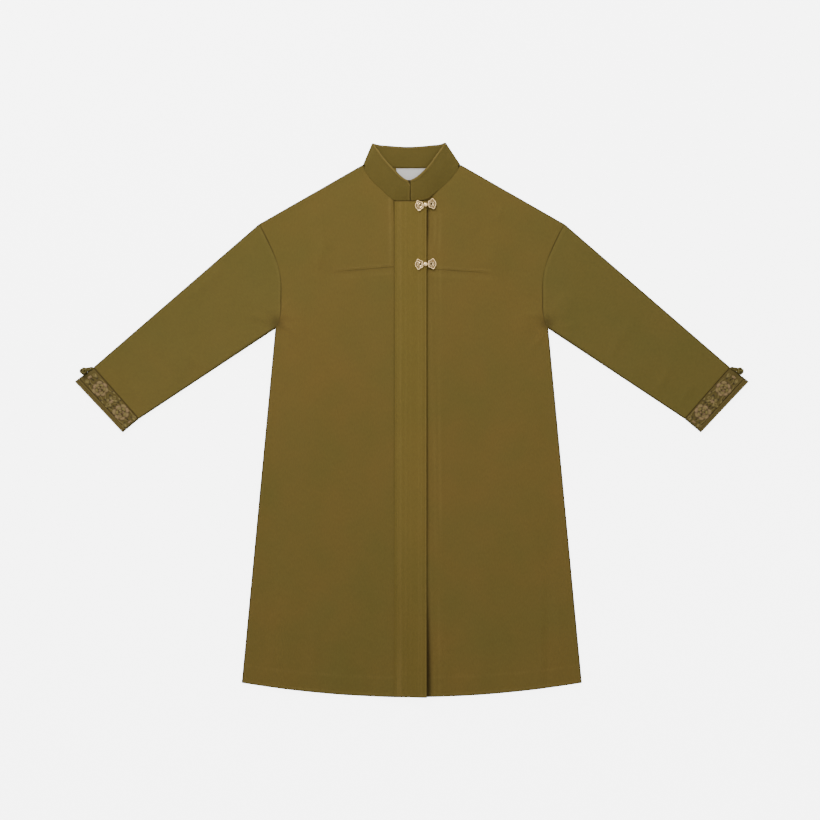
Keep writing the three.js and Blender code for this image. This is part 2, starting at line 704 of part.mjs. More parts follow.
function cuffPartGeometry(hand, distances) {
  const depth = Math.hypot(
    CUFF_END_HIGH[0] - CUFF_SEAM_HIGH[0],
    CUFF_END_HIGH[1] - CUFF_SEAM_HIGH[1],
  );
  const sections = distances(depth).map((distance) => ({
    upper: between(CUFF_SEAM_HIGH, CUFF_END_HIGH, distance / depth),
    lower: between(CUFF_SEAM_LOW, CUFF_END_LOW, distance / depth),
    atArmhole: 0,
  }));
  return tubeGeometry(hand, sections, CUFF_SHARES, CUFF_CLOTH);
}

const cuffBandGeometry = (hand) =>
  cuffPartGeometry(hand, (depth) => {
    const end = depth - CUFF_EDGE_WIDTH - SEAM / 2;
    return [CUFF_START, end / 2, end];
  });

const cuffEdgeGeometry = (hand) =>
  cuffPartGeometry(hand, (depth) => {
    const start = depth - CUFF_EDGE_WIDTH + SEAM / 2;
    return [start, depth - CUFF_EDGE_TURN, depth];
  });

function labelGeometry() {
  const xs = [LABEL.left, LABEL.right];
  const ys = [LABEL.bottom, LABEL.top];
  const low = CLOTH + SEAM;
  const face = (z) => ys.map((y) => xs.map((x) => [x, y, z]));
  return wallGeometry(face(low + LABEL.thickness), face(low));
}

// A point at an angle and distance from the centre of a clasp half
const claspPoint = (turn, radius) =>
  new THREE.Vector2(
    CLASP_HALF.centre + radius * Math.cos(turn) * CLASP_SQUEEZE,
    radius * Math.sin(turn),
  );

// Outline of a clasp half round its own centre: a fan with a lobe at each corner
function claspOutline() {
  const { neckEnd, neckHalf } = CLASP_HALF;
  const { sweep, step } = CLASP_OUTLINE;
  const points = [];
  for (let angle = -sweep; angle <= sweep; angle += step) {
    const turn = THREE.MathUtils.degToRad(angle);
    let radius = CLASP_BASE_RADIUS;
    for (const lobe of CLASP_LOBES) {
      const off = Math.abs(Math.abs(turn) - THREE.MathUtils.degToRad(lobe.angle));
      radius += lobe.reach * Math.exp(-((off / lobe.spread) ** 2));
    }
    points.push(claspPoint(turn, radius));
  }
  points.push(new THREE.Vector2(neckEnd, neckHalf), new THREE.Vector2(neckEnd, -neckHalf));
  return new THREE.Shape(points);
}

function claspPlateGeometry() {
  const shape = claspOutline();
  const oval = new THREE.Path();
  oval.absellipse(CLASP_OVAL.x, 0, CLASP_OVAL.halfWide, CLASP_OVAL.halfTall, 0, 2 * Math.PI);
  shape.holes.push(oval);
  for (const side of [1, -1]) {
    const arc = (radius, steps) =>
      steps.map((step) => {
        const angle = side * mix(CLASP_SLOTS.from, CLASP_SLOTS.to, step / CLASP_SLOTS.steps);
        return claspPoint(THREE.MathUtils.degToRad(angle), radius);
      });
    const steps = Array.from({ length: CLASP_SLOTS.steps + 1 }, (_, step) => step);
    const ends = [...arc(CLASP_SLOTS.outer, steps), ...arc(CLASP_SLOTS.inner, steps.toReversed())];
    shape.holes.push(new THREE.Path(ends));
  }
  const settings = { depth: CLASP_PLATE, bevelEnabled: false, curveSegments: 5 };
  return new THREE.ExtrudeGeometry(shape, settings);
}

function toSolid(geometry) {
  const bare = geometry.clone();
  bare.deleteAttribute('normal');
  bare.deleteAttribute('uv');
  const merged = mergeVertices(bare, 1e-4);
  const mesh = new wasm.Mesh({
    numProp: 3,
    vertProperties: new Float32Array(merged.attributes.position.array),
    triVerts: new Uint32Array(merged.index.array),
  });
  return new wasm.Manifold(mesh);
}

function fromSolid(solid) {
  const mesh = solid.getMesh();
  const geometry = new THREE.BufferGeometry();
  geometry.setAttribute('position', new THREE.BufferAttribute(mesh.vertProperties, 3));
  geometry.setIndex(new THREE.BufferAttribute(mesh.triVerts, 1));
  geometry.computeVertexNormals();
  return geometry;
}

// The half that carries the ball: its plate runs on as a neck into the ball
function claspBallGeometry() {
  const ball = new THREE.SphereGeometry(CLASP_BALL.radius, CLASP_BALL.around, CLASP_BALL.rings);
  ball.rotateX(Math.PI / 2);
  ball.scale(1, 1, CLASP_BALL.height / CLASP_BALL.radius);
  ball.translate(0, 0, CLASP_BALL.height);
  const neckLength = CLASP_NECK.to - CLASP_NECK.from;
  const neck = new THREE.BoxGeometry(neckLength, 2 * CLASP_HALF.neckHalf, CLASP_PLATE);
  neck.translate(CLASP_NECK.from + neckLength / 2, 0, CLASP_PLATE / 2);
  const plate = toSolid(claspPlateGeometry());
  return fromSolid(plate.add(toSolid(neck)).add(toSolid(ball)));
}

// A ball knotted from cord: a sphere with slanting strand grooves
function knotGeometry() {
  const geometry = new THREE.SphereGeometry(KNOT.radius, KNOT_FACES.around, KNOT_FACES.rings);
  const position = geometry.attributes.position;
  const point = new THREE.Vector3();
  for (let index = 0; index < position.count; index += 1) {
    point.fromBufferAttribute(position, index);
    const around = Math.atan2(point.z, point.x);
    const height = point.y / KNOT.radius;
    const strand = Math.cos(KNOT_STRANDS * around + KNOT_TWIST * height) * (1 - height ** 2);
    point.multiplyScalar(1 - (KNOT_RELIEF / KNOT.radius) * (0.5 + 0.5 * strand));
    position.setXYZ(index, point.x, point.y, point.z);
  }
  geometry.computeVertexNormals();
  return geometry;
}

// A short doubled cord that lies along the cuff's fold, from the knot to the cuff seam
function loopGeometry() {
  const run = new THREE.Vector2(LOOP.x1 - LOOP.x0, LOOP.y1 - LOOP.y0).normalize();
  const sides = LOOP_SIDES;
  const points = [];
  const faces = [];
  LOOP_SECTIONS.forEach(({ share, swell }) => {
    const halfWide = mix(LOOP.wide0, LOOP.wide1, share) * swell;
    const halfHigh = LOOP_HALF_HEIGHT * swell * mix(1, LOOP_END_HEIGHT, share);
    for (let side = 0; side < sides; side += 1) {
      const turn = (2 * Math.PI * side) / sides;
      const across = halfWide * Math.cos(turn);
      points.push([
        mix(LOOP.x0, LOOP.x1, share) - run.y * across,
        mix(LOOP.y0, LOOP.y1, share) + run.x * across,
        LOOP.z + halfHigh * Math.sin(turn),
      ]);
    }
  });
  for (let row = 0; row < LOOP_SECTIONS.length - 1; row += 1) {
    for (let side = 0; side < sides; side += 1) {
      const next = (side + 1) % sides;
      const [a, b] = [row * sides + side, row * sides + next];
      faces.push([a, b, b + sides], [a, b + sides, a + sides]);
    }
  }
  for (let side = 1; side < sides - 1; side += 1) {
    const end = (LOOP_SECTIONS.length - 1) * sides;
    faces.push([0, side + 1, side], [end, end + side, end + side + 1]);
  }
  return { points, faces };
}

const group = new THREE.Group();

function add(name, geometry, finish) {
  const mesh = new THREE.Mesh(geometry, FINISHES[finish]);
  mesh.name = name;
  group.add(mesh);
  return mesh;
}

function addBody() {
  add('back', backGeometry(), 'coat');
  add('front_right', frontGeometry(-1), 'coat');
  add('front_left', frontGeometry(1), 'coat');
  add('yoke_right', yokeGeometry(-1), 'coat');
  add('yoke_left', yokeGeometry(1), 'coat');
  add('front_band', bandGeometry(), 'band');
  add('collar', collarGeometry(), 'band');
  add('neck_label', labelGeometry(), 'label');
}

function addSleeve(name, hand) {
  add(`sleeve_${name}`, sleeveGeometry(hand), 'coat');
  add(`cuff_band_${name}`, cuffBandGeometry(hand), 'cuff');
  add(`cuff_edge_${name}`, cuffEdgeGeometry(hand), 'cuff');
  const knot = add(`cuff_knot_${name}`, knotGeometry(), 'cuff');
  knot.position.set(hand * KNOT.x, KNOT.y, KNOT.z);
  const loop = loopGeometry();
  const points = loop.points.map(([x, y, z]) => [hand * x, y, z]);
  add(`cuff_loop_${name}`, closedGeometry(points, loop.faces), 'cuff');
}

// The ball half lies flat on the band; the other half slopes down to the left front
function addClasp({ name, x, y, turn }) {
  const tilt = THREE.MathUtils.degToRad(turn);
  const onBand = bandUnder(BAND_RIGHT, y) + BAND_CLOTH + SEAM;
  const ballHalf = add(`clasp_${name}_ball_half`, claspBallGeometry(), 'clasp');
  ballHalf.position.set(x, y, onBand);
  ballHalf.rotation.set(0, 0, tilt + Math.PI, 'ZYX');
  const reach = CLASP_HALF.centre + CLASP_BASE_RADIUS;
  const onFront = clothPoint(1, x + reach, y, 1).outer[2] + SEAM;
  const slope = Math.asin((onBand - onFront) / reach);
  const loopHalf = add(`clasp_${name}_loop_half`, claspPlateGeometry(), 'clasp');
  loopHalf.position.set(x, y, onBand);
  loopHalf.rotation.set(0, slope, tilt, 'ZYX');
}

addBody();
addSleeve('right', -1);
addSleeve('left', 1);
CLASPS.forEach(addClasp);

export default group;
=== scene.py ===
"""A long straight overcoat laid flat on its back, front upwards.

Tables are in millimetres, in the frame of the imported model: +X is the wearer's left,
+Y runs towards the collar, +Z is up from the surface that the coat lies on.
"""

import logging
import math
from collections.abc import Callable
from dataclasses import dataclass, field
from enum import Enum

import bpy
import numpy as np
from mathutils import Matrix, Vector


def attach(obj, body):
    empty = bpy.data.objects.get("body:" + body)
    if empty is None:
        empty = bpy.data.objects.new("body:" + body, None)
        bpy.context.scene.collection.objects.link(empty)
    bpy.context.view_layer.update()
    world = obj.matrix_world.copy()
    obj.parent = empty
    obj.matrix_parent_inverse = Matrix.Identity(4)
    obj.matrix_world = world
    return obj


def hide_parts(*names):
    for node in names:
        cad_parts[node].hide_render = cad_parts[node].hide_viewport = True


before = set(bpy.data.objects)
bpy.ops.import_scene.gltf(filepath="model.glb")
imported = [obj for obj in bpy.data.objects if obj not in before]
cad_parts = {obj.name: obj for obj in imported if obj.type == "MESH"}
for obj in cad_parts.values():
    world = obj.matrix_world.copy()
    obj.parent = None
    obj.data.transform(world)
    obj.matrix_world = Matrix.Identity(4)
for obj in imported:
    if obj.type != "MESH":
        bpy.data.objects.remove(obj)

LOG = logging.getLogger("overcoat")
Array = np.ndarray
Point = tuple[float, float]
Sockets = bpy.types.bpy_prop_collection
Setting = bpy.types.NodeSocket | float | tuple[float, ...]
MM = 0.001


class Hand(Enum):
    """The wearer's side, as the sign of X."""

    RIGHT = -1
    LEFT = 1

    @property
    def word(self) -> str:
        """The side's name in a node's name."""
        return self.name.lower()


class Layer(Enum):
    """Which layer of the laid coat, as the sign of its height over the side fold."""

    FRONT = 1
    BACK = -1


# Tables


@dataclass(frozen=True)
class CoatSizes:
    """Thicknesses, gaps and outline points that every piece shares."""

    cloth: float = 2.4
    band_cloth: float = 3.6
    collar_cloth: float = 3.0
    cuff_cloth: float = 3.0
    seam: float = 0.3
    lap_clearance: float = 0.6
    fold_gap: float = 2.5
    rest_gap: float = 0.6
    gap_reach: float = 35.0
    hem_corner: Point = (340.0, -525.0)
    underarm: Point = (273.0, 182.0)
    shoulder: Point = (305.0, 392.0)
    neck: Point = (98.2, 510.3)
    cuff_seam_high: Point = (636.0, 105.7)
    cuff_seam_low: Point = (545.0, 2.0)
    cuff_end_high: Point = (673.4, 77.0)
    cuff_end_low: Point = (577.5, -25.0)
    cuff_edge_width: float = 11.0
    hem_y: float = -554.0
    hem_radius: float = 2000.0
    back_neck_y: float = 504.3
    back_neck_rise: float = 6.2
    band_right: float = 30.0
    band_top: float = 437.0
    underlap_edge: float = -30.0
    front_seam: float = -34.9
    chest_side_y: float = 287.0
    collar_to_neck_lap: float = 0.03
    back_neck_lap: float = 0.25
    closed_seam_lap: float = 0.04


SIZES = CoatSizes()

# Armhole: x, y from the underarm up to the shoulder
ARMHOLE = np.array([
    (273, 182), (268, 190), (263, 208), (261.5, 245), (262.5, 287),
    (269.5, 316), (282, 346), (294, 371), (305, 392),
], dtype=float)

# Rows of the body: side_y, centre_y, share of the hem's arc
BODY_ROWS = np.array([
    (-525, -554, 1), (-470, -492, 0.75), (-380, -394, 0.5), (-260, -268, 0.25),
    (-120, -122, 0), (20, 22, 0), (120, 128, 0), (182, 196, 0), (190, 212, 0),
    (208, 234, 0), (245, 268, 0), (287, 306, 0), (316, 345, 0), (346, 392, 0),
], dtype=float)
CHEST_ROW = 11
# First of a front's rows that follows the neckline
NECK_ROW = len(BODY_ROWS)
# The left front's underlap ends under the band: side_y of its top row
UNDERLAP_SIDE_Y = 350.0
# The back's row over the fronts' last one: side_y, y under the neck point, centre_y
BACK_TOP_ROW = (371.0, 462.0, 456.0)
# Drop of the side and neck points for each millimetre in from the shoulder fold
SHOULDER_FALL = 0.88
NECK_FALL = 1.15
# Share of a row's fall to the centre that is reached under the neck point
BACK_NECK_SHARE = 0.2

# Collar rows, slit to side fold: seam_x, seam_y, top_x, top_y, top_z, side_y of the front's row
NO_ROW = math.nan
COLLAR_RIGHT = np.array([
    (-3.0, 437.6, -3.0, 478, 17, NO_ROW), (-20, 437.6, -11, 479.5, 16.8, NO_ROW),
    (-36, 438.6, -22, 487, 16.4, 352), (-49, 449, -29, 494, 16, 358),
    (-61, 460.5, -37, 502.5, 15.2, 364.5), (-72, 470, -45, 511.5, 14, 371),
    (-81, 479, -54, 522, 12.4, 377), (-89, 490, -63, 534, 10.4, 382),
    (-94.5, 500, -71, 545, 8, 386.5),
])
COLLAR_LEFT = np.array([
    (-2.98, 437.6, -2.98, 478.3, 16.6, NO_ROW), (16, 437.6, 5, 482, 16.6, 354),
    (33, 442, 14, 488.5, 16.4, 359.5), (46, 453, 21, 495, 16, 365),
    (58, 463, 29, 503, 15.2, 371), (69.5, 473, 38, 514, 14, 376),
    (79, 483, 46, 526, 12.4, 380), (87, 493, 54, 537, 10.4, 383.5),
    (92.5, 502, 61, 547, 8, 387),
])
# Collar at its two side folds and round the back: seam_x, seam_y, top_x, top_y
COLLAR_FOLDS = {Hand.RIGHT: (-98.0, 509.3, -79.5, 552.8), Hand.LEFT: (97.5, 509.6, 68.0, 554.0)}
COLLAR_BACK = np.array([
    (-90, -70, 551.2), (-60, -46, 548.6), (-30, -26, 546.9), (0, -5, 546.3),
    (30, 18, 547.4), (60, 40, 549.6), (90, 60, 552.4),
])


@dataclass(frozen=True)
class Crease:
    """One soft fold of the laid cloth, from a start to an end on the wearer's left half.

    Its height is `height` times a rise over the first share of its length and a longer
    fade after it, times a bell across it. The bell widens along the fold, and `bow` bends
    the fold sideways. `hand` keeps it to one side of the coat.
    """

    x0: float
    y0: float
    x1: float
    y1: float
    width: float
    height: float
    bow: float = 0.0
    rise: float = 0.25
    hand: Hand | None = None

    def height_at(self, x: Array, y: Array) -> Array:
        """Height of the fold over the flat cloth.

        Args:
            x: distances out from the coat's centre line.
            y: heights up the coat.

        Returns:
            The fold's height at each point.
        """
        run_x, run_y = self.x1 - self.x0, self.y1 - self.y0
        length = math.hypot(run_x, run_y)
        along = ((x - self.x0) * run_x + (y - self.y0) * run_y) / length**2
        across = ((x - self.x0) * run_y - (y - self.y0) * run_x) / length
        across = across - self.bow * 4 * along * (1 - along)
        width = self.width * (0.7 + 0.6 * np.clip(along, 0, 1))
        ends = smooth_step(0.0, self.rise, along) * (1 - smooth_step(0.5, 1.0, along))
        return self.height * ends * bell(across, width)


# The broad folds that the solids have too: their fades run past both ends
FRONT_FOLDS = (
    (262, -540, 226, -150, 34, 1.5), (142, -552, 128, -250, 30, 1.2),
    (255, 212, 196, 168, 22, 1.6), (172, 310, 188, 430, 20, 1.3),
)
SLEEVE_FOLDS = ((292, 205, 330, 262, 16, 1.6), (452, 82, 486, 160, 22, 1.3))

# Finer folds of the upper layer, placed one by one and uneven from side to side
UPPER_CREASES = (
    Crease(270, 196, 214, 150, 4.5, 0.75, bow=5, hand=Hand.RIGHT),
    Crease(268, 204, 200, 196, 4.0, -0.45, bow=-4, hand=Hand.RIGHT),
    Crease(266, 216, 222, 246, 5.0, 0.55, bow=4, hand=Hand.RIGHT),
    Crease(271, 192, 224, 132, 5.0, 0.65, bow=-6, hand=Hand.LEFT),
    Crease(266, 206, 208, 208, 4.0, 0.6, bow=3, hand=Hand.LEFT),
    Crease(265, 222, 232, 262, 4.0, -0.4, bow=-3, hand=Hand.LEFT),
    Crease(278, 190, 338, 212, 4.5, 0.8, bow=-5, hand=Hand.RIGHT),
    Crease(277, 200, 318, 246, 4.0, -0.45, bow=3, hand=Hand.RIGHT),
    Crease(279, 188, 352, 196, 5.0, 0.7, bow=4, hand=Hand.LEFT),
    Crease(276, 204, 322, 258, 5.0, 0.6, bow=-5, hand=Hand.LEFT),
    Crease(186, 300, 168, 372, 9.0, 0.6, bow=4, hand=Hand.RIGHT),
    Crease(150, 318, 176, 396, 8.0, -0.4, bow=-5, hand=Hand.RIGHT),
    Crease(152, 304, 166, 352, 8.0, 0.55, bow=-4, hand=Hand.LEFT),
    Crease(118, 352, 140, 412, 9.0, -0.4, bow=6, hand=Hand.LEFT),
    Crease(164, 392, 184, 446, 8.0, 0.5, bow=4, hand=Hand.LEFT),
    Crease(196, -548, 184, -330, 15.0, 0.8, bow=6, hand=Hand.RIGHT),
    Crease(306, -530, 282, -210, 12.0, -0.45, bow=-7, hand=Hand.RIGHT),
    Crease(88, -550, 82, -390, 12.0, 0.6, bow=3, hand=Hand.RIGHT),
    Crease(178, -548, 158, -280, 14.0, -0.45, bow=-6, hand=Hand.LEFT),
    Crease(298, -532, 270, -260, 15.0, 0.8, bow=6, hand=Hand.LEFT),
    Crease(74, -552, 66, -300, 11.0, 0.6, bow=-3, hand=Hand.LEFT),
    Crease(236, 60, 214, -140, 22.0, 0.6, bow=10, hand=Hand.RIGHT),
    Crease(226, 110, 232, -90, 20.0, 0.6, bow=-9, hand=Hand.LEFT),
    Crease(418, 98, 470, 176, 9.0, 0.75, bow=6, hand=Hand.RIGHT),
    Crease(470, 68, 524, 150, 10.0, -0.5, bow=-6, hand=Hand.RIGHT),
    Crease(396, 118, 452, 212, 10.0, 0.65, bow=-7, hand=Hand.LEFT),
    Crease(486, 56, 520, 128, 9.0, 0.7, bow=5, hand=Hand.LEFT),
    Crease(536, 26, 572, 84, 8.0, 0.5, bow=-4),
    Crease(372, 318, 470, 232, 13.0, 0.6, bow=8, hand=Hand.RIGHT),
    Crease(350, 330, 436, 262, 12.0, -0.45, bow=-8, hand=Hand.LEFT),
)

# Troughs of the underside, which lift the cloth's lower face off the surface
UNDER_CREASES = (
    Crease(208, 430, 236, 120, 16.0, 0.7, bow=9),
    Crease(118, 380, 132, -60, 22.0, 0.5, bow=-12, hand=Hand.RIGHT),
    Crease(104, 300, 92, -160, 20.0, 0.55, bow=10, hand=Hand.LEFT),
    Crease(266, 60, 300, -470, 17.0, 0.65, bow=-8, hand=Hand.RIGHT),
    Crease(258, 20, 286, -500, 15.0, 0.6, bow=12, hand=Hand.LEFT),
    Crease(196, -120, 214, -540, 20.0, 0.7, bow=6, hand=Hand.RIGHT),
    Crease(160, -220, 176, -545, 18.0, 0.6, bow=-7, hand=Hand.LEFT),
    Crease(270, 196, 210, 176, 6.0, 0.7, bow=4),
    Crease(278, 196, 344, 236, 7.0, 0.7, bow=-5),
    Crease(430, 86, 482, 172, 12.0, 0.7, bow=6),
    Crease(496, 58, 548, 142, 11.0, 0.5, bow=-5, hand=Hand.LEFT),
    Crease(340, 344, 452, 250, 14.0, 0.6, bow=-7),
)


# Curves and grids


def smooth_step(low: float, high: float, value: Array | float) -> Array:
    """Share of the way from low to high, eased at both ends: s times s times (3 - 2s)."""
    share = np.clip((np.asarray(value, dtype=float) - low) / (high - low), 0.0, 1.0)
    return share * share * (3.0 - 2.0 * share)


def mix(start: Array | float, end: Array | float, share: Array | float) -> Array:
    """Value that lies the given share of the way from start to end."""
    return start + (end - start) * share


def smooth_through(knots: Array, values: Array, at: Array) -> Array:
    """Curve through the rows of a table, a cubic between each two of them.

    The slope at a row is the mean of its two neighbouring spans' slopes, each weighted by
    the other span's length, and at an end row the slope of its only span.

    Args:
        knots: rising place of each row.
        values: one value, or one point, for each row.
        at: places to read the curve at.

    Returns:
        The values at those places.
    """
    flat = values.ndim == 1
    rows = values[:, None] if flat else values
    span = np.diff(knots)
    slope = np.diff(rows, axis=0) / span[:, None]
    weight = (span[:-1] + span[1:])[:, None]
    inner = (slope[:-1] * span[1:, None] + slope[1:] * span[:-1, None]) / weight
    tangent = np.concatenate([slope[:1], inner, slope[-1:]])
    low = np.clip(np.searchsorted(knots, at, side="right") - 1, 0, len(knots) - 2)
    width = span[low]
    t = ((at - knots[low]) / width)[:, None]
    width = width[:, None]
    result = (
        (2 * t**3 - 3 * t**2 + 1) * rows[low]
        + (t**3 - 2 * t**2 + t) * width * tangent[low]
        + (3 * t**2 - 2 * t**3) * rows[low + 1]
        + (t**3 - t**2) * width * tangent[low + 1]
    )
    return result[:, 0] if flat else result


FINE = np.array([0.0, 0.3, 0.8, 1.5, 2.6, 4.2])


def stations(length: float, step: float, fine_start: bool = False, fine_end: bool = False) -> Array:
    """Distances along a line: even ones, and closer ones next to a seam or free edge.

    Args:
        length: length of the line.
        step: largest distance between two stations.
        fine_start: whether its start is an edge of the cloth.
        fine_end: whether its end is one.

    Returns:
        Rising distances, from 0 to length.
    """
    head = FINE if fine_start else FINE[:1]
    tail = length - (FINE if fine_end else FINE[:1])[::-1]
    count = max(2, math.ceil((tail[0] - head[-1]) / step) + 1)
    middle = np.linspace(head[-1], tail[0], count)
    return np.concatenate([head[:-1], middle, tail[1:]])


def walked(points: Array, axis: int) -> Array:
    """Distance walked along a grid's lines, from its first row (axis 0) or column (axis 1)."""
    step = np.linalg.norm(np.diff(points, axis=axis), axis=-1)
    start = np.zeros_like(np.take(step, [0], axis=axis))
    return np.concatenate([start, np.cumsum(step, axis=axis)], axis=axis)


def bell(value: Array, width: Array | float, middle: Array | float = 0.0) -> Array:
    """Bell over a value: 1 at its middle, about a third at a width to each side of it."""
    return np.exp(-(((value - middle) / width) ** 2))


def uneven(at: Array, scale: float, phase: float = 0.0) -> Array:
    """Slow uneven wave from -1 to 1: three sines whose lengths share no common measure."""
    turn = at / scale * 2 * math.pi
    return (
        np.sin(turn + phase) + 0.7 * np.sin(1.618 * turn + 2.3 * phase)
        + 0.5 * np.sin(2.719 * turn + 4.1 * phase)
    ) / 2.2


def unit(vectors: Array) -> Array:
    """The same directions with length 1."""
    return vectors / np.maximum(np.linalg.norm(vectors, axis=-1, keepdims=True), 1e-9)


# The laid cloth


@dataclass(frozen=True)
class FoldedEdge:
    """A straight folded edge of the coat's left half, and a point on its cloth side."""

    start: Point
    end: Point
    cloth_side: Point

    @property
    def inward(self) -> Array:
        """Unit direction from the edge to the cloth."""
        run = np.subtract(self.end, self.start)
        normal = np.array([run[1], -run[0]]) / np.linalg.norm(run)
        return normal if np.dot(np.subtract(self.cloth_side, self.start), normal) > 0 else -normal


@dataclass(frozen=True)
class LaidCloth:
    """How every layer of the coat lies, which keeps neighbouring pieces flush.

    Next to a folded edge a layer turns round a half circle whose radius is the cloth's
    thickness and half the gap inside the fold. Further in, the lower layer is flat on the
    surface and the upper one lies over it at the gap, which closes with the distance from
    the fold, plus the folds' heights.
    """

    sizes: CoatSizes = SIZES
    neck_lift: float = 2.4
    neck_lift_at: Point = (-2.0, 470.0)
    neck_lift_reach: float = 75.0
    lap_rise_reach: float = 55.0
    fine_fold: float = 1.5
    edges: tuple[FoldedEdge, ...] = field(init=False)

    def __post_init__(self) -> None:
        """Lists the folded edges of one half."""
        s = self.sizes
        object.__setattr__(self, "edges", (
            FoldedEdge(s.hem_corner, s.underarm, (0.0, 0.0)),
            FoldedEdge(s.underarm, s.cuff_seam_low, s.shoulder),
            FoldedEdge(s.cuff_seam_low, s.cuff_end_low, s.shoulder),
            FoldedEdge(s.shoulder, s.neck, s.underarm),
            FoldedEdge(s.shoulder, s.cuff_seam_high, s.underarm),
            FoldedEdge(s.cuff_seam_high, s.cuff_end_high, s.underarm),
        ))

    def nearest_edge(self, x: Array, y: Array) -> tuple[Array, Array, Array]:
        """Distance to the nearest folded edge, its nearest point and the way inwards.

        Args:
            x: distances out from the coat's centre line.
            y: heights up the coat.

        Returns:
            Distances, nearest points and inward directions.
        """
        best = np.full(x.shape, np.inf)
        foot = np.zeros(x.shape + (2,))
        inward = np.zeros(x.shape + (2,))
        here = np.stack([x, y], axis=-1)
        for edge in self.edges:
            start = np.array(edge.start)
            run = np.subtract(edge.end, edge.start)
            along = np.clip(((here - start) @ run) / (run @ run), 0.0, 1.0)
            nearest = start + along[..., None] * run
            away = here - nearest
            distance = np.linalg.norm(away, axis=-1)
            way = np.where((distance > 0.01)[..., None], unit(away), edge.inward)
            closer = distance < best - 1e-9
            best = np.where(closer, distance, best)
            foot = np.where(closer[..., None], nearest, foot)
            inward = np.where(closer[..., None], way, inward)
        return best, foot, inward

    def broad_folds(self, folds: tuple[tuple[float, ...], ...], x: Array, y: Array) -> Array:
        """Height of the broad folds: each a bell across its line, eased in and out along it."""
        height = np.zeros(x.shape)
        for x0, y0, x1, y1, width, top in folds:
            run = np.array([x1 - x0, y1 - y0])
            length = float(np.linalg.norm(run))
            along = ((x - x0) * run[0] + (y - y0) * run[1]) / length**2
            across = ((x - x0) * run[1] - (y - y0) * run[0]) / length
            ends = smooth_step(-0.25, 0.1, along) * (1 - smooth_step(0.25, 1.15, along))
            height += top * ends * bell(across, width)
        return height

    def lift(self, hand: Hand, x: Array, y: Array) -> Array:
        """Height of the upper layer over the lower one: neck, broad folds and front lap."""
        out = np.abs(x)
        neck = np.hypot(x - self.neck_lift_at[0], y - self.neck_lift_at[1]) / self.neck_lift_reach
        height = self.neck_lift * np.exp(-0.5 * neck**2)
        on_sleeve = out > self.sizes.underarm[0] - 8
        height += np.where(
            on_sleeve,
            self.broad_folds(SLEEVE_FOLDS, out, y),
            self.broad_folds(FRONT_FOLDS, out, y),
        )
        if hand is Hand.RIGHT:
            seam = self.sizes.front_seam
            rise = self.sizes.cloth + self.sizes.lap_clearance
            height = height + rise * smooth_step(seam - self.lap_rise_reach, seam, x)
        return height

    def creases(self, table: tuple[Crease, ...], hand: Hand, x: Array, y: Array) -> Array:
        """Sum of the fine folds of one side."""
        height = np.zeros(x.shape)
        for crease in table:
            if crease.hand in (None, hand):
                height += self.fine_fold * crease.height_at(np.abs(x), y)
        return height

    def lie(
        self, hand: Hand, x: Array, y: Array, layer: Layer = Layer.FRONT, cloth: float = SIZES.cloth
    ) -> tuple[Array, Array]:
        """Outer and inner face of a layer at points seen from above.

        Args:
            hand: side of the coat.
            x: places across the coat, negative on the wearer's right.
            y: places up the coat.
            layer: upper or lower layer.
            cloth: thickness of the cloth.

        Returns:
            Points of the outer face and of the inner face.
        """
        x, y = np.broadcast_arrays(np.asarray(x, dtype=float), np.asarray(y, dtype=float))
        sign = layer.value
        distance, foot, inward = self.nearest_edge(np.abs(x), y)
        radius = cloth + self.sizes.fold_gap / 2
        small = radius - cloth
        turn = np.arccos(np.clip(1 - distance / radius, -1.0, 1.0))
        mirror = np.array([hand.value, 1.0])
        inset = cloth + small * (1 - np.cos(turn))
        inner_xy = (foot + inward * inset[..., None]) * mirror
        outer_xy = (foot + inward * distance[..., None]) * mirror
        outer_z = radius + sign * radius * np.sin(turn)
        inner_z = radius + sign * small * np.sin(turn)
        split = sign * self.sizes.seam / 2 * np.exp(-distance / 0.4)
        rolled_outer = np.concatenate([outer_xy, (outer_z + split)[..., None]], axis=-1)
        rolled_inner = np.concatenate([inner_xy, (inner_z + split)[..., None]], axis=-1)
        if layer is Layer.BACK:
            under = self.creases(UNDER_CREASES, hand, x, y) * smooth_step(radius, 26, distance)
            under = under / self.fine_fold
            flat_outer = np.stack([x, y, under], axis=-1)
            flat_inner = np.stack([x, y, np.full(x.shape, cloth)], axis=-1)
        else:
            near = np.exp(-np.maximum(distance - radius, 0) / self.sizes.gap_reach)
            rest = self.sizes.rest_gap
            fine = self.creases(UPPER_CREASES, hand, x, y) * smooth_step(radius, 16, distance)
            fade = smooth_step(radius, 45, distance)
            gap = rest + (self.sizes.fold_gap - rest) * near
            gap = np.maximum(gap + fade * self.lift(hand, x, y) + fine, 0.2)
            flat_inner = np.stack([x, y, cloth + gap], axis=-1)
            flat_outer = np.stack([x, y, 2 * cloth + gap], axis=-1)
        flat = (distance >= radius)[..., None]
        return np.where(flat, flat_outer, rolled_outer), np.where(flat, flat_inner, rolled_inner)

    def rim(self, x: Array, y: Array) -> Array:
        """Painted shade on a folded edge, where the cloth turns away from the light: 1 on it, 0 from a few
        millimetres in.
        """
        distance, _, _ = self.nearest_edge(np.abs(x), y)
        return 1 - smooth_step(0.8, 3.4, distance)

    def underarm_shade(self, x: Array, y: Array) -> Array:
        """Deep soft shade where sleeve and body bunch under the arm."""
        away = np.hypot(np.abs(x) - self.sizes.underarm[0] + 3, y - self.sizes.underarm[1] - 12)
        return 0.55 * bell(away, 13.0)

    def armhole_depth(self, y: Array) -> Array:
        """Depth of the armhole seam's line: strong over two stretches, faint between."""
        upper = bell(y, 34.0, 358)
        lower = bell(y, 44.0, 236)
        return 0.16 + 0.6 * np.maximum(upper, lower)

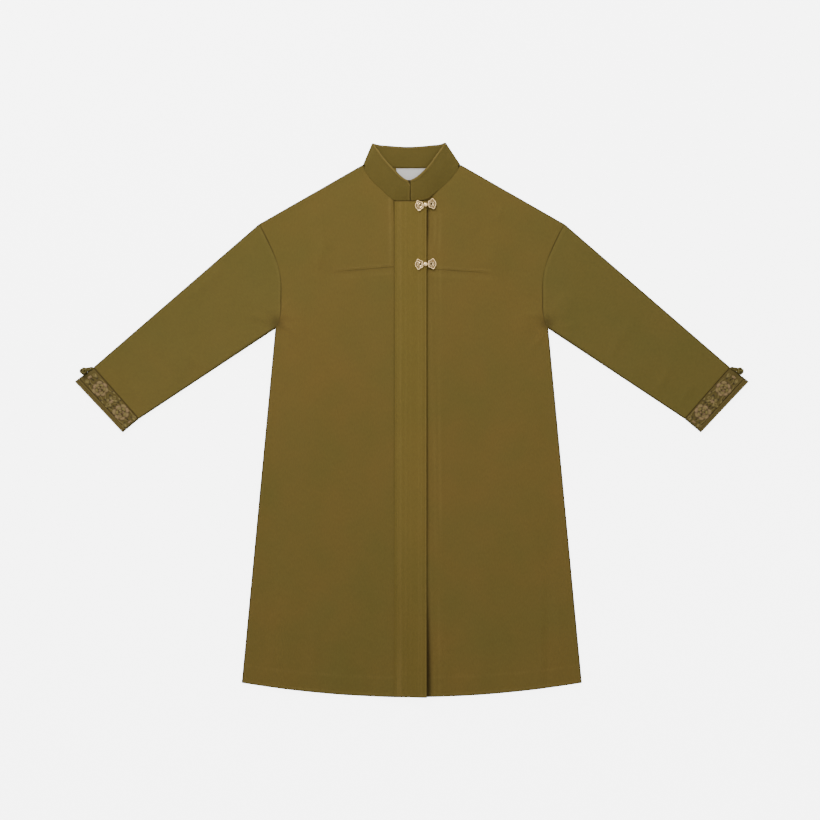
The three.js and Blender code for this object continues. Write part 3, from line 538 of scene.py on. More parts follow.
    def fold_steps(self, cloth: float, count: int = 8) -> Array:
        """Distances in from a folded edge at which its turn is drawn, at even angles."""
        radius = cloth + self.sizes.fold_gap / 2
        return radius * (1 - np.cos(np.linspace(0, math.pi / 2, count + 1)))


LAID = LaidCloth()


def hem_arc(x: Array | float) -> Array:
    """Height of the hem, an arc that rises to the sides: x squared over twice its radius."""
    return SIZES.hem_y + np.square(x) / (2 * SIZES.hem_radius)


def side_point(side_y: Array) -> Array:
    """Point of the side seam, or of the armhole above the underarm, at a height."""
    run = (side_y - SIZES.hem_corner[1]) / (SIZES.underarm[1] - SIZES.hem_corner[1])
    seam = mix(SIZES.hem_corner[0], SIZES.underarm[0], run)
    hole = smooth_through(ARMHOLE[:, 1], ARMHOLE[:, 0], np.maximum(side_y, ARMHOLE[0, 1]))
    return np.stack([np.where(side_y > SIZES.underarm[1], hole, seam), side_y], axis=-1)


def back_neck_y(x: Array | float) -> Array:
    """Height of the back neckline, a shallow curve that rises to the sides."""
    return SIZES.back_neck_y + SIZES.back_neck_rise * np.square(np.asarray(x) / SIZES.neck[0])


def plan_uv(points: Array, angle: float = 0.0) -> Array:
    """Grain directions of a piece: its plan in millimetres, turned by an angle in degrees."""
    turn = math.radians(angle)
    u = points[..., 0] * math.cos(turn) + points[..., 1] * math.sin(turn)
    v = -points[..., 0] * math.sin(turn) + points[..., 1] * math.cos(turn)
    return np.stack([u, v], axis=-1)


# Walls


@dataclass
class Wall:
    """Two faces of a piece on one grid, which become a closed wall.

    `seam`, `rim` and the ridge mask are masks from 0 to 1 for the finishes: `seam` darkens next to
    a sewn seam and also paints shade in creases and under edges, `rim` is painted shade on a folded
    or cut edge, and the ridge mask is a painted highlight, with a little wear, on a raised ridge.
    """

    outer: Array
    inner: Array
    uv: Array
    cells: Array | None = None
    ring: bool = False
    seam: Array | None = None
    rim: Array | None = None
    worn: Array | None = None

    def press(self, distance: Array, amount: Array | float, half: float) -> None:
        """Draws both faces towards each other near an edge, along a quarter circle.

        Args:
            distance: distance of each grid point from the edge.
            amount: 1 rounds the edge fully, less leaves part of its thickness.
            half: half the wall's thickness, which is the quarter circle's radius.
        """
        left = half - np.minimum(distance, half)
        drop = amount * (half - np.sqrt(half**2 - left**2))
        way = unit(self.inner - self.outer) * drop[..., None]
        self.outer = self.outer + way
        self.inner = self.inner - way

    def raise_outer(self, height: Array) -> None:
        """Moves the outer face out from the inner one by a height."""
        self.outer = self.outer - unit(self.inner - self.outer) * height[..., None]

    def faces(self) -> Array:
        """Four-sided faces of the closed wall, as indices into the outer, then inner points."""
        rows, columns = self.outer.shape[:2]
        span = columns if self.ring else columns - 1
        cells = np.ones((rows - 1, span), bool) if self.cells is None else self.cells
        index = np.arange(rows * columns).reshape(rows, columns)
        right = np.roll(index, -1, axis=1) if self.ring else index[:, 1:]
        a, b = index[:-1, :span], right[:-1, :span]
        c, d = right[1:, :span], index[1:, :span]
        under = rows * columns
        grown = np.pad(cells, 1)
        if self.ring:
            grown[:, 0], grown[:, -1] = grown[:, -2], grown[:, 1]
        rims = (
            (b, a, grown[:-2, 1:-1]), (d, c, grown[2:, 1:-1]),
            (a, d, grown[1:-1, :-2]), (c, b, grown[1:-1, 2:]),
        )
        quads = [
            np.stack([a, b, c, d], axis=-1)[cells], np.stack([d, c, b, a], axis=-1)[cells] + under,
        ]
        for one, two, beyond in rims:
            quads.append(np.stack([one, two, two + under, one + under], axis=-1)[cells & ~beyond])
        return np.concatenate(quads)

    def mask(self, values: Array | None) -> Array:
        """A mask for the outer and then the inner points, 0 where there is none."""
        shape = self.outer.shape[:2]
        one = np.zeros(shape) if values is None else np.broadcast_to(values, shape)
        return np.concatenate([one.ravel(), one.ravel()])


@dataclass
class Cut:
    """Points, faces and masks of a piece's mesh, which several shapes can share."""

    points: list[Array] = field(default_factory=list)
    faces: list[Array] = field(default_factory=list)
    uv: list[Array] = field(default_factory=list)
    masks: dict[str, list[Array]] = field(default_factory=dict)
    count: int = 0

    def add(self, points: Array, faces: list[Array], uv: Array, **masks: Array) -> None:
        """Adds one shape.

        Args:
            points: its points, in millimetres.
            faces: arrays of faces, each with its own number of corners.
            uv: grain place of each point, in millimetres.
            **masks: one value for each point.
        """
        flat = points.reshape(-1, 3)
        self.points.append(flat)
        self.uv.append(uv.reshape(-1, 2))
        self.faces.extend(part + self.count for part in faces)
        for name in set(self.masks) | set(masks):
            held = self.masks.setdefault(name, [np.zeros(self.count)] if self.count else [])
            value = masks.get(name, 0.0)
            held.append(np.broadcast_to(np.asarray(value, dtype=float).ravel(), (len(flat),)))
        self.count += len(flat)

    def add_wall(self, wall: Wall, **masks: float) -> None:
        """Adds a closed wall, its faces turned outwards."""
        points = np.concatenate([wall.outer.reshape(-1, 3), wall.inner.reshape(-1, 3)])
        faces = outward(points, wall.faces())
        uv = np.concatenate([wall.uv.reshape(-1, 2)] * 2)
        masks = {
            "seam": wall.mask(wall.seam), "rim": wall.mask(wall.rim), "worn": wall.mask(wall.worn),
            **masks,
        }
        self.add(points, [faces], uv, **masks)

    def mesh(self, name: str, sharp: float = 60.0) -> bpy.types.Mesh:
        """Builds the mesh in metres, without the points that no face uses.

        Args:
            name: the mesh's name.
            sharp: angle in degrees from which an edge between faces stays crisp.

        Returns:
            The mesh, smooth, with its grain map and masks.
        """
        points = np.concatenate(self.points)
        sizes = np.concatenate([np.full(len(part), part.shape[1]) for part in self.faces])
        corners = np.concatenate([part.ravel() for part in self.faces])
        used, corners = np.unique(corners, return_inverse=True)
        corners = corners.reshape(-1)
        mesh = bpy.data.meshes.new(name)
        mesh.vertices.add(len(used))
        mesh.vertices.foreach_set("co", (points[used] * MM).astype(np.float32).ravel())
        mesh.loops.add(len(corners))
        mesh.loops.foreach_set("vertex_index", corners.astype(np.int32))
        mesh.polygons.add(len(sizes))
        starts = np.concatenate([[0], np.cumsum(sizes)[:-1]])
        mesh.polygons.foreach_set("loop_start", starts.astype(np.int32))
        mesh.polygons.foreach_set("use_smooth", np.ones(len(sizes), bool))
        mesh.update(calc_edges=True)
        grain = (np.concatenate(self.uv)[used] * MM)[corners]
        layer = mesh.uv_layers.new(name="grain")
        layer.uv.foreach_set("vector", grain.astype(np.float32).ravel())
        for label, parts in self.masks.items():
            values = np.concatenate(parts)[used]
            attribute = mesh.attributes.new(label, "FLOAT", "POINT")
            attribute.data.foreach_set("value", values.astype(np.float32))
        mesh.validate()
        mesh.set_sharp_from_angle(angle=math.radians(sharp))
        return mesh


def outward(points: Array, faces: Array) -> Array:
    """The same closed shell's faces, turned so that its volume is positive."""
    corner = points[faces]
    volume = 0.0
    for second in range(1, faces.shape[1] - 1):
        cross = np.cross(corner[:, second], corner[:, second + 1])
        volume += float(np.einsum("ij,ij->", corner[:, 0], cross))
    return faces[:, ::-1] if volume < 0 else faces


Shape = tuple[Array, list[Array], Array]


def ring_faces(rings: int, sides: int, closed: bool = False) -> list[Array]:
    """Faces round a stack of rings, and one on each end unless the last ring joins the first."""
    index = np.arange(rings * sides).reshape(rings, sides)
    caps = [] if closed else [index[:1, ::-1], index[-1:]]
    if closed:
        index = np.append(index, index[:1], axis=0)
    beside = np.roll(index, -1, axis=1)
    quads = np.stack([index[:-1], beside[:-1], beside[1:], index[1:]], axis=-1).reshape(-1, 4)
    return [quads, *caps]


def tube(
    path: Array, wide: Array | float, high: Array | float, up: Array, sides: int = 10,
    closed: bool = False,
) -> Shape:
    """A round or oval profile carried along a path.

    Each ring is the path's point, plus cosine times `wide` across and sine times `high`
    along the up direction. An open tube's ends are closed by one face each.

    Args:
        path: centre points.
        wide: half width at each point, or one for all.
        high: half height at each point, or one for all.
        up: up direction at each point, or one for all.
        sides: points round the profile.
        closed: whether the path's end joins its start.

    Returns:
        Points, faces and grain map, round the tube and along it.
    """
    count = len(path)
    if closed:
        run = np.roll(path, -1, axis=0) - np.roll(path, 1, axis=0)
    else:
        run = np.gradient(path, axis=0)
    run = unit(run)
    across = unit(np.cross(np.broadcast_to(up, path.shape), run))
    rise = unit(np.cross(run, across))
    turn = np.linspace(0, 2 * math.pi, sides, endpoint=False)
    wide = np.broadcast_to(np.asarray(wide, dtype=float), (count,))
    high = np.broadcast_to(np.asarray(high, dtype=float), (count,))
    points = (
        path[:, None]
        + across[:, None] * (wide[:, None] * np.cos(turn))[..., None]
        + rise[:, None] * (high[:, None] * np.sin(turn))[..., None]
    )
    length = walked(path[:, None], 0)
    girth = turn * float(np.mean(wide))
    uv = np.stack(np.broadcast_arrays(girth[None, :], length), axis=-1)
    return points, ring_faces(count, sides, closed), uv


def ball(
    centre: Array, radius: Array, rings: int = 12, sides: int = 20
) -> Shape:
    """A closed ball or bead, its poles along Z, each pole closed by one small face."""
    pole = 0.02
    tilt = np.linspace(pole, math.pi - pole, rings + 1)[:, None]
    turn = np.linspace(0, 2 * math.pi, sides, endpoint=False)[None, :]
    shape = np.stack(np.broadcast_arrays(
        np.sin(tilt) * np.cos(turn), np.sin(tilt) * np.sin(turn), -np.cos(tilt)
    ), axis=-1)
    points = np.asarray(centre) + shape * np.asarray(radius)
    uv = shape[..., :2] * float(np.max(radius))
    return points, ring_faces(rings + 1, sides), uv


def stitches(
    path: Array, up: Array, pitch: float = 3.4, length: float = 2.3, radius: float = 0.26
) -> Shape:
    """A row of sewn stitches along a path on the cloth.

    Every stitch is a short rounded thread that arches over the cloth and dips into it at
    both ends. Pitch and length wander a little, as on a sewing machine.

    Args:
        path: points that the row follows.
        up: direction out of the cloth at each point, or one for all.
        pitch: distance from stitch to stitch.
        length: length of a stitch.
        radius: thickness of the thread, halved.

    Returns:
        Points, faces and grain map of all the stitches.
    """
    way = walked(path[:, None], 0)[:, 0]
    count = max(1, int(way[-1] // pitch))
    middle = (np.arange(count) + 0.5) * way[-1] / count
    middle = middle + 0.12 * pitch * uneven(middle, 31.0, 0.7)
    up_all = np.broadcast_to(up, path.shape)

    def pick(table: Array, at: Array) -> Array:
        """Values of the path's table at distances along it."""
        return np.stack([np.interp(at, way, table[:, k]) for k in range(3)], axis=-1)

    centre, over = pick(path, middle), unit(pick(up_all, middle))
    run = unit(pick(path, middle + 0.4) - pick(path, middle - 0.4))
    side = unit(np.cross(over, run))
    along = np.array([-1.0, -0.62, 0.62, 1.0])
    girth = np.array([0.35, 0.95, 0.95, 0.35])
    arch = np.array([-0.24, 0.1, 0.1, -0.24])
    turn = np.linspace(0, 2 * math.pi, 6, endpoint=False)
    half = length / 2 * (1 + 0.08 * uneven(middle, 17.0, 1.9))
    points = (
        centre[:, None, None]
        + run[:, None, None] * (half[:, None] * along)[..., None, None]
        + side[:, None, None] * (radius * girth[:, None] * np.cos(turn))[None, ..., None]
        + over[:, None, None] * (radius * girth[:, None] * np.sin(turn) + arch[:, None])[None, ..., None]
    )
    rings, sides = len(along), len(turn)
    shift = (np.arange(count) * rings * sides)[:, None, None]
    faces = [(part + shift).reshape(-1, part.shape[1]) for part in ring_faces(rings, sides)]
    uv = np.stack(np.broadcast_arrays(
        (turn * radius)[None, None, :], (half[:, None] * along)[..., None]
    ), axis=-1)
    return points, faces, uv


# Shader groups


@dataclass
class NodeGraph:
    """Short ways to add and join shader nodes in a material or a group."""

    tree: bpy.types.NodeTree

    def add(self, kind: str, **settings: str | bpy.types.NodeTree) -> bpy.types.Node:
        """Adds a node of a type with its plain settings."""
        node = self.tree.nodes.new(kind)
        for name, value in settings.items():
            setattr(node, name, value)
        return node

    def join(self, source: Setting, target: bpy.types.NodeSocket) -> None:
        """Links a socket to a target, or sets the target's own value."""
        if isinstance(source, bpy.types.NodeSocket):
            self.tree.links.new(source, target)
        else:
            target.default_value = source

    def math(self, operation: str, *values: bpy.types.NodeSocket | float) -> bpy.types.NodeSocket:
        """A Math node on one to three values."""
        node = self.add("ShaderNodeMath", operation=operation)
        for value, socket in zip(values, node.inputs):
            self.join(value, socket)
        return node.outputs[0]

    def noise(self, vector: bpy.types.NodeSocket, scale: float, detail: float = 2.0,
              rough: float = 0.5) -> bpy.types.NodeSocket:
        """A noise value on a vector."""
        node = self.add("ShaderNodeTexNoise")
        self.join(vector, node.inputs["Vector"])
        node.inputs["Scale"].default_value = scale
        node.inputs["Detail"].default_value = detail
        node.inputs["Roughness"].default_value = rough
        return node.outputs["Fac"]

    def mix_colour(self, fac: Setting, one: Setting, two: Setting,
                   blend: str = "MIX") -> bpy.types.NodeSocket:
        """A colour mixed from two by a share."""
        node = self.add("ShaderNodeMix", data_type="RGBA", blend_type=blend)
        self.join(fac, node.inputs["Factor"])
        self.join(one, node.inputs[6])
        self.join(two, node.inputs[7])
        return node.outputs[2]

    def grain(self) -> bpy.types.NodeSocket:
        """The piece's grain map, in metres along and across the cloth."""
        return self.add("ShaderNodeUVMap", uv_map="grain").outputs["UV"]

    def place(self) -> bpy.types.NodeSocket:
        """The point's place in the object."""
        return self.add("ShaderNodeTexCoord").outputs["Object"]

    def mask(self, label: str) -> bpy.types.NodeSocket:
        """One of the mesh's masks."""
        return self.add("ShaderNodeAttribute", attribute_name=label).outputs["Fac"]

    def relief(self, shader: bpy.types.Node, height: bpy.types.NodeSocket, strength: float) -> None:
        """Gives a shader the fine relief of a height in metres."""
        node = self.add("ShaderNodeBump")
        node.inputs["Strength"].default_value = strength
        node.inputs["Distance"].default_value = 1.0
        self.join(height, node.inputs["Height"])
        self.join(node.outputs["Normal"], shader.inputs["Normal"])

    def stretched(self, vector: bpy.types.NodeSocket, scale: tuple[float, float, float],
                  turn: float = 0.0) -> bpy.types.NodeSocket:
        """The vector turned about Z by an angle in degrees, then scaled."""
        node = self.add("ShaderNodeMapping", vector_type="POINT")
        self.join(vector, node.inputs["Vector"])
        node.inputs["Rotation"].default_value = (0.0, 0.0, math.radians(turn))
        node.inputs["Scale"].default_value = scale
        return node.outputs["Vector"]


class ShaderGroup:
    """A node group with named inputs and outputs, built once."""

    name = "group"
    inputs: tuple[tuple[str, str], ...] = ()
    outputs: tuple[tuple[str, str], ...] = ()

    @classmethod
    def tree(cls) -> bpy.types.NodeTree:
        """The group's node tree, made on first use."""
        found = bpy.data.node_groups.get(cls.name)
        if found:
            return found
        made = bpy.data.node_groups.new(cls.name, "ShaderNodeTree")
        for way, sockets in (("INPUT", cls.inputs), ("OUTPUT", cls.outputs)):
            for label, kind in sockets:
                made.interface.new_socket(name=label, in_out=way, socket_type=kind)
        graph = NodeGraph(made)
        start, end = graph.add("NodeGroupInput"), graph.add("NodeGroupOutput")
        cls.build(graph, start.outputs, end.inputs)
        return made

    @classmethod
    def build(cls, graph: NodeGraph, given: Sockets, wanted: Sockets) -> None:
        """Adds the group's nodes between its inputs and outputs."""

    @classmethod
    def place(cls, graph: NodeGraph, **values: Setting) -> bpy.types.Node:
        """Places the group in a material.

        Args:
            graph: the material's graph.
            **values: sockets or plain values, by input name with _ for a space.

        Returns:
            The group node.
        """
        node = graph.add("ShaderNodeGroup", node_tree=cls.tree())
        for name, value in values.items():
            graph.join(value, node.inputs[name.replace("_", " ")])
        return node


class TwillWeave(ShaderGroup):
    """Fine slanting ribs crossed by the single threads, both slightly irregular."""

    name = "twill_weave"
    inputs = (("Grain", "NodeSocketVector"), ("Ribs", "NodeSocketFloat"))
    outputs = (("Height", "NodeSocketFloat"),)

    @classmethod
    def build(cls, graph: NodeGraph, given: Sockets, wanted: Sockets) -> None:
        """Height is a rib wave on u + v, plus half a thread wave on u - v, plus a noise."""
        split = graph.add("ShaderNodeSeparateXYZ")
        graph.join(given["Grain"], split.inputs[0])
        wander = graph.math("MULTIPLY", graph.noise(given["Grain"], 260.0, 2.0), 0.0011)
        slant = graph.math("ADD", graph.math("ADD", split.outputs[0], split.outputs[1]), wander)
        cross = graph.math("SUBTRACT", split.outputs[0], split.outputs[1])
        turns = graph.math("MULTIPLY", given["Ribs"], 2 * math.pi)
        rib = graph.math("SINE", graph.math("MULTIPLY", slant, turns))
        thread = graph.math("SINE", graph.math("MULTIPLY", cross, graph.math("MULTIPLY", turns, 1.7)))
        both = graph.math("ADD", rib, graph.math("MULTIPLY", thread, 0.5))
        graph.join(graph.math("MULTIPLY_ADD", both, 0.25, 0.5), wanted["Height"])


class WoolNap(ShaderGroup):
    """The short fibres over the weave: long fine flecks in two directions."""

    name = "wool_nap"
    inputs = (("Grain", "NodeSocketVector"),)
    outputs = (("Height", "NodeSocketFloat"), ("Fleck", "NodeSocketFloat"))

    @classmethod
    def build(cls, graph: NodeGraph, given: Sockets, wanted: Sockets) -> None:
        """Height is the mean of two stretched noises, the fleck a coarser one."""
        one = graph.noise(graph.stretched(given["Grain"], (900.0, 240.0, 900.0), 24.0), 1.0, 3.0, 0.6)
        two = graph.noise(graph.stretched(given["Grain"], (260.0, 1000.0, 900.0), -31.0), 1.0, 3.0, 0.6)
        graph.join(graph.math("MULTIPLY", graph.math("ADD", one, two), 0.5), wanted["Height"])
        fleck = graph.noise(graph.stretched(given["Grain"], (420.0, 150.0, 400.0), 12.0), 1.0, 4.0, 0.65)
        graph.join(fleck, wanted["Fleck"])


class SlowShade(ShaderGroup):
    """Broad uneven tone of dyed cloth, from 0 to 1."""

    name = "slow_shade"
    inputs = (("Place", "NodeSocketVector"),)
    outputs = (("Tone", "NodeSocketFloat"), ("Press", "NodeSocketFloat"))

    @classmethod
    def build(cls, graph: NodeGraph, given: Sockets, wanted: Sockets) -> None:
        """The tone is a large noise and a share of a smaller one. Press is soft handling marks."""
        broad = graph.noise(given["Place"], 4.2, 2.0, 0.5)
        small = graph.noise(given["Place"], 17.0, 3.0, 0.55)
        tone = graph.math("ADD", graph.math("MULTIPLY", broad, 0.7), graph.math("MULTIPLY", small, 0.3))
        graph.join(tone, wanted["Tone"])
        press = graph.noise(graph.stretched(given["Place"], (9.0, 3.5, 9.0), 14.0), 1.0, 2.0, 0.5)
        graph.join(press, wanted["Press"])


class SeamAndPaintedLight(ShaderGroup):
    """Darkens a cloth's colour in its seams and with painted shade on its edges and in creases, and lifts it
    with a painted highlight on ridges.
    """

    name = "seam_and_painted_light"
    inputs = (
        ("Colour", "NodeSocketColor"), ("Deep", "NodeSocketColor"), ("Edge", "NodeSocketColor"),
        ("Rubbed", "NodeSocketColor"), ("Seam", "NodeSocketFloat"), ("Rim", "NodeSocketFloat"),
        ("Worn", "NodeSocketFloat"), ("Fleck", "NodeSocketFloat"),
    )
    outputs = (("Colour", "NodeSocketColor"),)

    @classmethod
    def build(cls, graph: NodeGraph, given: Sockets, wanted: Sockets) -> None:
        """Mixes the three marks in order: painted highlight on a ridge, painted shade on a folded edge, then
        seam darkening, which also carries painted shade.
        """
        rubbed = graph.math("MULTIPLY", given["Worn"], graph.math("MULTIPLY_ADD", given["Fleck"], 1.0, 0.25))
        colour = graph.mix_colour(rubbed, given["Colour"], given["Rubbed"])
        colour = graph.mix_colour(given["Rim"], colour, given["Edge"])
        colour = graph.mix_colour(given["Seam"], colour, given["Deep"])
        graph.join(colour, wanted["Colour"])


class ThreadLay(ShaderGroup):
    """Threads that lie side by side across a stitched shape."""

    name = "thread_lay"
    inputs = (("Grain", "NodeSocketVector"), ("Threads", "NodeSocketFloat"))
    outputs = (("Height", "NodeSocketFloat"), ("Shade", "NodeSocketFloat"))

    @classmethod
    def build(cls, graph: NodeGraph, given: Sockets, wanted: Sockets) -> None:
        """Height is the rounded top of each thread: the size of a sine along the grain."""
        split = graph.add("ShaderNodeSeparateXYZ")
        graph.join(given["Grain"], split.inputs[0])
        wander = graph.math("MULTIPLY", graph.noise(given["Grain"], 420.0, 2.0), 0.0006)
        along = graph.math("ADD", split.outputs[1], wander)
        turns = graph.math("MULTIPLY", given["Threads"], math.pi)
        wave = graph.math("ABSOLUTE", graph.math("SINE", graph.math("MULTIPLY", along, turns)))
        graph.join(wave, wanted["Height"])
        graph.join(graph.noise(graph.stretched(given["Grain"], (60.0, 1400.0, 1.0)), 1.0, 2.0),
                   wanted["Shade"])


# Finishes

Colour = tuple[float, float, float]


def opaque(colour: Colour) -> tuple[float, float, float, float]:
    """The colour with full alpha."""
    return (*colour, 1.0)


def new_material(name: str) -> tuple[bpy.types.Material, NodeGraph, bpy.types.Node]:
    """An empty node material with a Principled BSDF.

    Args:
        name: the material's name.

    Returns:
        The material, its graph and its shader.
    """
    material = bpy.data.materials.new(name)
    material.use_nodes = True
    tree = material.node_tree
    tree.nodes.clear()
    graph = NodeGraph(tree)
    shader = graph.add("ShaderNodeBsdfPrincipled")
    output = graph.add("ShaderNodeOutputMaterial")
    tree.links.new(shader.outputs[0], output.inputs[0])
    return material, graph, shader


class Finish:
    """A material that is built on first use and shared from then on."""

    name: str

    def material(self) -> bpy.types.Material:
        """The finish's material."""
        found = bpy.data.materials.get(self.name)
        if found:
            return found
        material, graph, shader = new_material(self.name)
        self.shade(graph, shader)
        return material

    def shade(self, graph: NodeGraph, shader: bpy.types.Node) -> None:
        """Adds the finish's nodes and joins them to its shader."""


@dataclass(frozen=True)
class ClothFinish(Finish):
    """Dense, matt, softly brushed cloth over a fine twill."""

    name: str
    warm: Colour = (0.174, 0.1125, 0.0225)
    cool: Colour = (0.146, 0.1095, 0.0215)
    # Colour of the seam lines and of the painted shade in creases and under edges.
    deep: Colour = (0.046, 0.028, 0.004)
    # Colour of the painted shade on folded and cut edges.
    edge: Colour = (0.031, 0.021, 0.003)
    # Colour of the painted highlight on ridges, with a little wear.
    rubbed: Colour = (0.250, 0.172, 0.042)
    ribs: float = 1150.0
    weave: float = 0.00022
    nap: float = 0.00030
    roughness: float = 0.86
    sheen: float = 0.05
    sheen_tint: Colour = (0.78, 0.66, 0.38)
    specular: float = 0.25

    def shade(self, graph: NodeGraph, shader: bpy.types.Node) -> None:
        """Joins the cloth's colour, gloss and weave to its grain map, its place and its masks, which paint
        shade and highlights.
        """
        grain = graph.grain()
        nap = WoolNap.place(graph, Grain=grain)
        weave = TwillWeave.place(graph, Grain=grain, Ribs=self.ribs)
        shade = SlowShade.place(graph, Place=graph.place())
        tone = graph.add("ShaderNodeMapRange")
        graph.join(shade.outputs["Tone"], tone.inputs["Value"])
        for label, value in (("From Min", 0.32), ("From Max", 0.68)):
            tone.inputs[label].default_value = value
        base = graph.mix_colour(tone.outputs["Result"], opaque(self.cool), opaque(self.warm))
        fleck = graph.math("MULTIPLY_ADD", nap.outputs["Fleck"], 0.34, 0.83)
        flecked = graph.mix_colour(1.0, base, fleck, "MULTIPLY")
        marked = SeamAndPaintedLight.place(
            graph, Colour=flecked, Deep=opaque(self.deep), Edge=opaque(self.edge),
            Rubbed=opaque(self.rubbed), Seam=graph.mask("seam"), Rim=graph.mask("rim"),
            Worn=graph.mask("worn"), Fleck=nap.outputs["Fleck"],
        )
        graph.join(marked.outputs["Colour"], shader.inputs["Base Color"])
        rough = graph.math("MULTIPLY_ADD", shade.outputs["Press"], -0.10, self.roughness + 0.05)
        graph.join(rough, shader.inputs["Roughness"])
        height = graph.math(
            "ADD",
            graph.math("MULTIPLY", weave.outputs["Height"], self.weave),
            graph.math("MULTIPLY", nap.outputs["Height"], self.nap),
        )
        graph.relief(shader, height, 0.75)
        shader.inputs["Sheen Weight"].default_value = self.sheen
        shader.inputs["Sheen Roughness"].default_value = 0.45
        shader.inputs["Sheen Tint"].default_value = opaque(self.sheen_tint)
        shader.inputs["Specular IOR Level"].default_value = self.specular


@dataclass(frozen=True)
class ThreadFinish(Finish):
    """Sewing or embroidery thread, its colour from one tone to another."""

    name: str
    dark: Colour
    light: Colour
    third: Colour
    threads: float = 2100.0
    depth: float = 0.00022
    roughness: float = 0.55
    sheen: float = 0.03
    specular: float = 0.2

    def shade(self, graph: NodeGraph, shader: bpy.types.Node) -> None:
        """Joins the thread's nodes: the `tone` mask runs from dark at 0 to light at 1 to third at 2. The
        `rim` mask paints shade in the third colour, and the colour is darker between the threads as painted
        shade.
        """
        tone = graph.mask("tone")
        lay = ThreadLay.place(graph, Grain=graph.grain(), Threads=self.threads)
        first = graph.mix_colour(graph.math("MINIMUM", tone, 1.0), opaque(self.dark), opaque(self.light))
        third = graph.math("MINIMUM", graph.math("MAXIMUM", graph.math("SUBTRACT", tone, 1.0), 0.0), 1.0)
        colour = graph.mix_colour(third, first, opaque(self.third))
        # Painted shade: the `rim` mask darkens to the third colour.
        colour = graph.mix_colour(graph.mask("rim"), colour, opaque(self.third))
        shade = graph.math("MULTIPLY_ADD", lay.outputs["Shade"], 0.5, 0.55)
        # Painted shade between the threads, from each thread's height.
        groove = graph.math("MULTIPLY_ADD", lay.outputs["Height"], 0.35, 0.72)
        colour = graph.mix_colour(1.0, colour, graph.math("MULTIPLY", shade, groove), "MULTIPLY")
        graph.join(colour, shader.inputs["Base Color"])
        rough = graph.math("MULTIPLY_ADD", lay.outputs["Shade"], 0.2, self.roughness - 0.1)
        graph.join(rough, shader.inputs["Roughness"])
        graph.relief(shader, graph.math("MULTIPLY", lay.outputs["Height"], self.depth), 0.8)
        shader.inputs["Sheen Weight"].default_value = self.sheen
        shader.inputs["Sheen Roughness"].default_value = 0.35
        shader.inputs["Specular IOR Level"].default_value = self.specular


@dataclass(frozen=True)
class LabelFinish(Finish):
    """Woven off-white satin ribbon with fine crosswise threads."""

    name: str = "label_satin"
    light: Colour = (0.80, 0.78, 0.75)
    dull: Colour = (0.62, 0.58, 0.52)
    threads: float = 1800.0
    depth: float = 0.00012

    def shade(self, graph: NodeGraph, shader: bpy.types.Node) -> None:
        """Joins the ribbon's nodes to its grain map."""
        lay = ThreadLay.place(graph, Grain=graph.grain(), Threads=self.threads)
        tone = graph.math("MULTIPLY_ADD", lay.outputs["Shade"], 0.6, -0.1)
        colour = graph.mix_colour(tone, opaque(self.light), opaque(self.dull))
        colour = graph.mix_colour(graph.mask("rim"), colour, opaque(self.dull))
        graph.join(colour, shader.inputs["Base Color"])
        graph.join(graph.math("MULTIPLY_ADD", lay.outputs["Shade"], 0.2, 0.5), shader.inputs["Roughness"])
        graph.relief(shader, graph.math("MULTIPLY", lay.outputs["Height"], self.depth), 0.6)


@dataclass(frozen=True)
class MetalFinish(Finish):
    """Polished pale rose gold plate, duller in its recesses and darker there as painted shade."""

    name: str = "clasp_rose_gold"
    bright: Colour = (0.96, 0.69, 0.36)
    # Colour of the painted shade in the recesses.
    deep: Colour = (0.20, 0.12, 0.042)
    wear: float = 0.0001

    def shade(self, graph: NodeGraph, shader: bpy.types.Node) -> None:
        """Joins the metal's nodes: fine wear in the gloss, and a `seam` mask that paints shade into the
        recesses.
        """
        place = graph.place()
        recess_shade = graph.mask("seam")
        cloud = graph.noise(place, 340.0, 3.0, 0.6)
        scratch = graph.noise(graph.stretched(place, (3800.0, 500.0, 900.0), 33.0), 1.0, 2.0)
        colour = graph.mix_colour(recess_shade, opaque(self.bright), opaque(self.deep))
        colour = graph.mix_colour(1.0, colour, graph.math("MULTIPLY_ADD", cloud, 0.24, 0.86), "MULTIPLY")
        graph.join(colour, shader.inputs["Base Color"])
        rough = graph.math("ADD", graph.math("MULTIPLY_ADD", cloud, 0.14, 0.12),
                           graph.math("MULTIPLY", recess_shade, 0.2))
        graph.join(graph.math("MULTIPLY_ADD", scratch, 0.08, rough), shader.inputs["Roughness"])
        shader.inputs["Metallic"].default_value = 1.0
        graph.relief(shader, graph.math("MULTIPLY", cloud, self.wear), 0.35)


COAT = ClothFinish("coat_wool")
BAND = ClothFinish("band_wool", warm=(0.181, 0.1230, 0.0225), cool=(0.162, 0.1180, 0.0215))
# The collar's wool is darker than the coat's, as painted shade on the raised collar.
COLLAR = ClothFinish("collar_wool", warm=(0.138, 0.0985, 0.0180), cool=(0.122, 0.0910, 0.0170))
SLEEVE = ClothFinish("sleeve_wool", warm=(0.158, 0.1130, 0.0230), cool=(0.138, 0.1090, 0.0220))
CUFF = ClothFinish("cuff_wool", warm=(0.128, 0.0925, 0.0235), cool=(0.112, 0.0850, 0.0215))
SEWING = ThreadFinish("sewing_thread", (0.17, 0.114, 0.021), (0.24, 0.164, 0.036), (0.10, 0.068, 0.013))
EMBROIDERY = ThreadFinish(
    "embroidery_thread", (0.33, 0.255, 0.075), (0.42, 0.275, 0.125), (0.032, 0.020, 0.004),
)
KNOT_CORD = ThreadFinish(
    "knot_cord_satin", (0.115, 0.087, 0.016), (0.20, 0.155, 0.036), (0.030, 0.022, 0.004),
    threads=900.0, depth=0.0003,
)


# Pieces


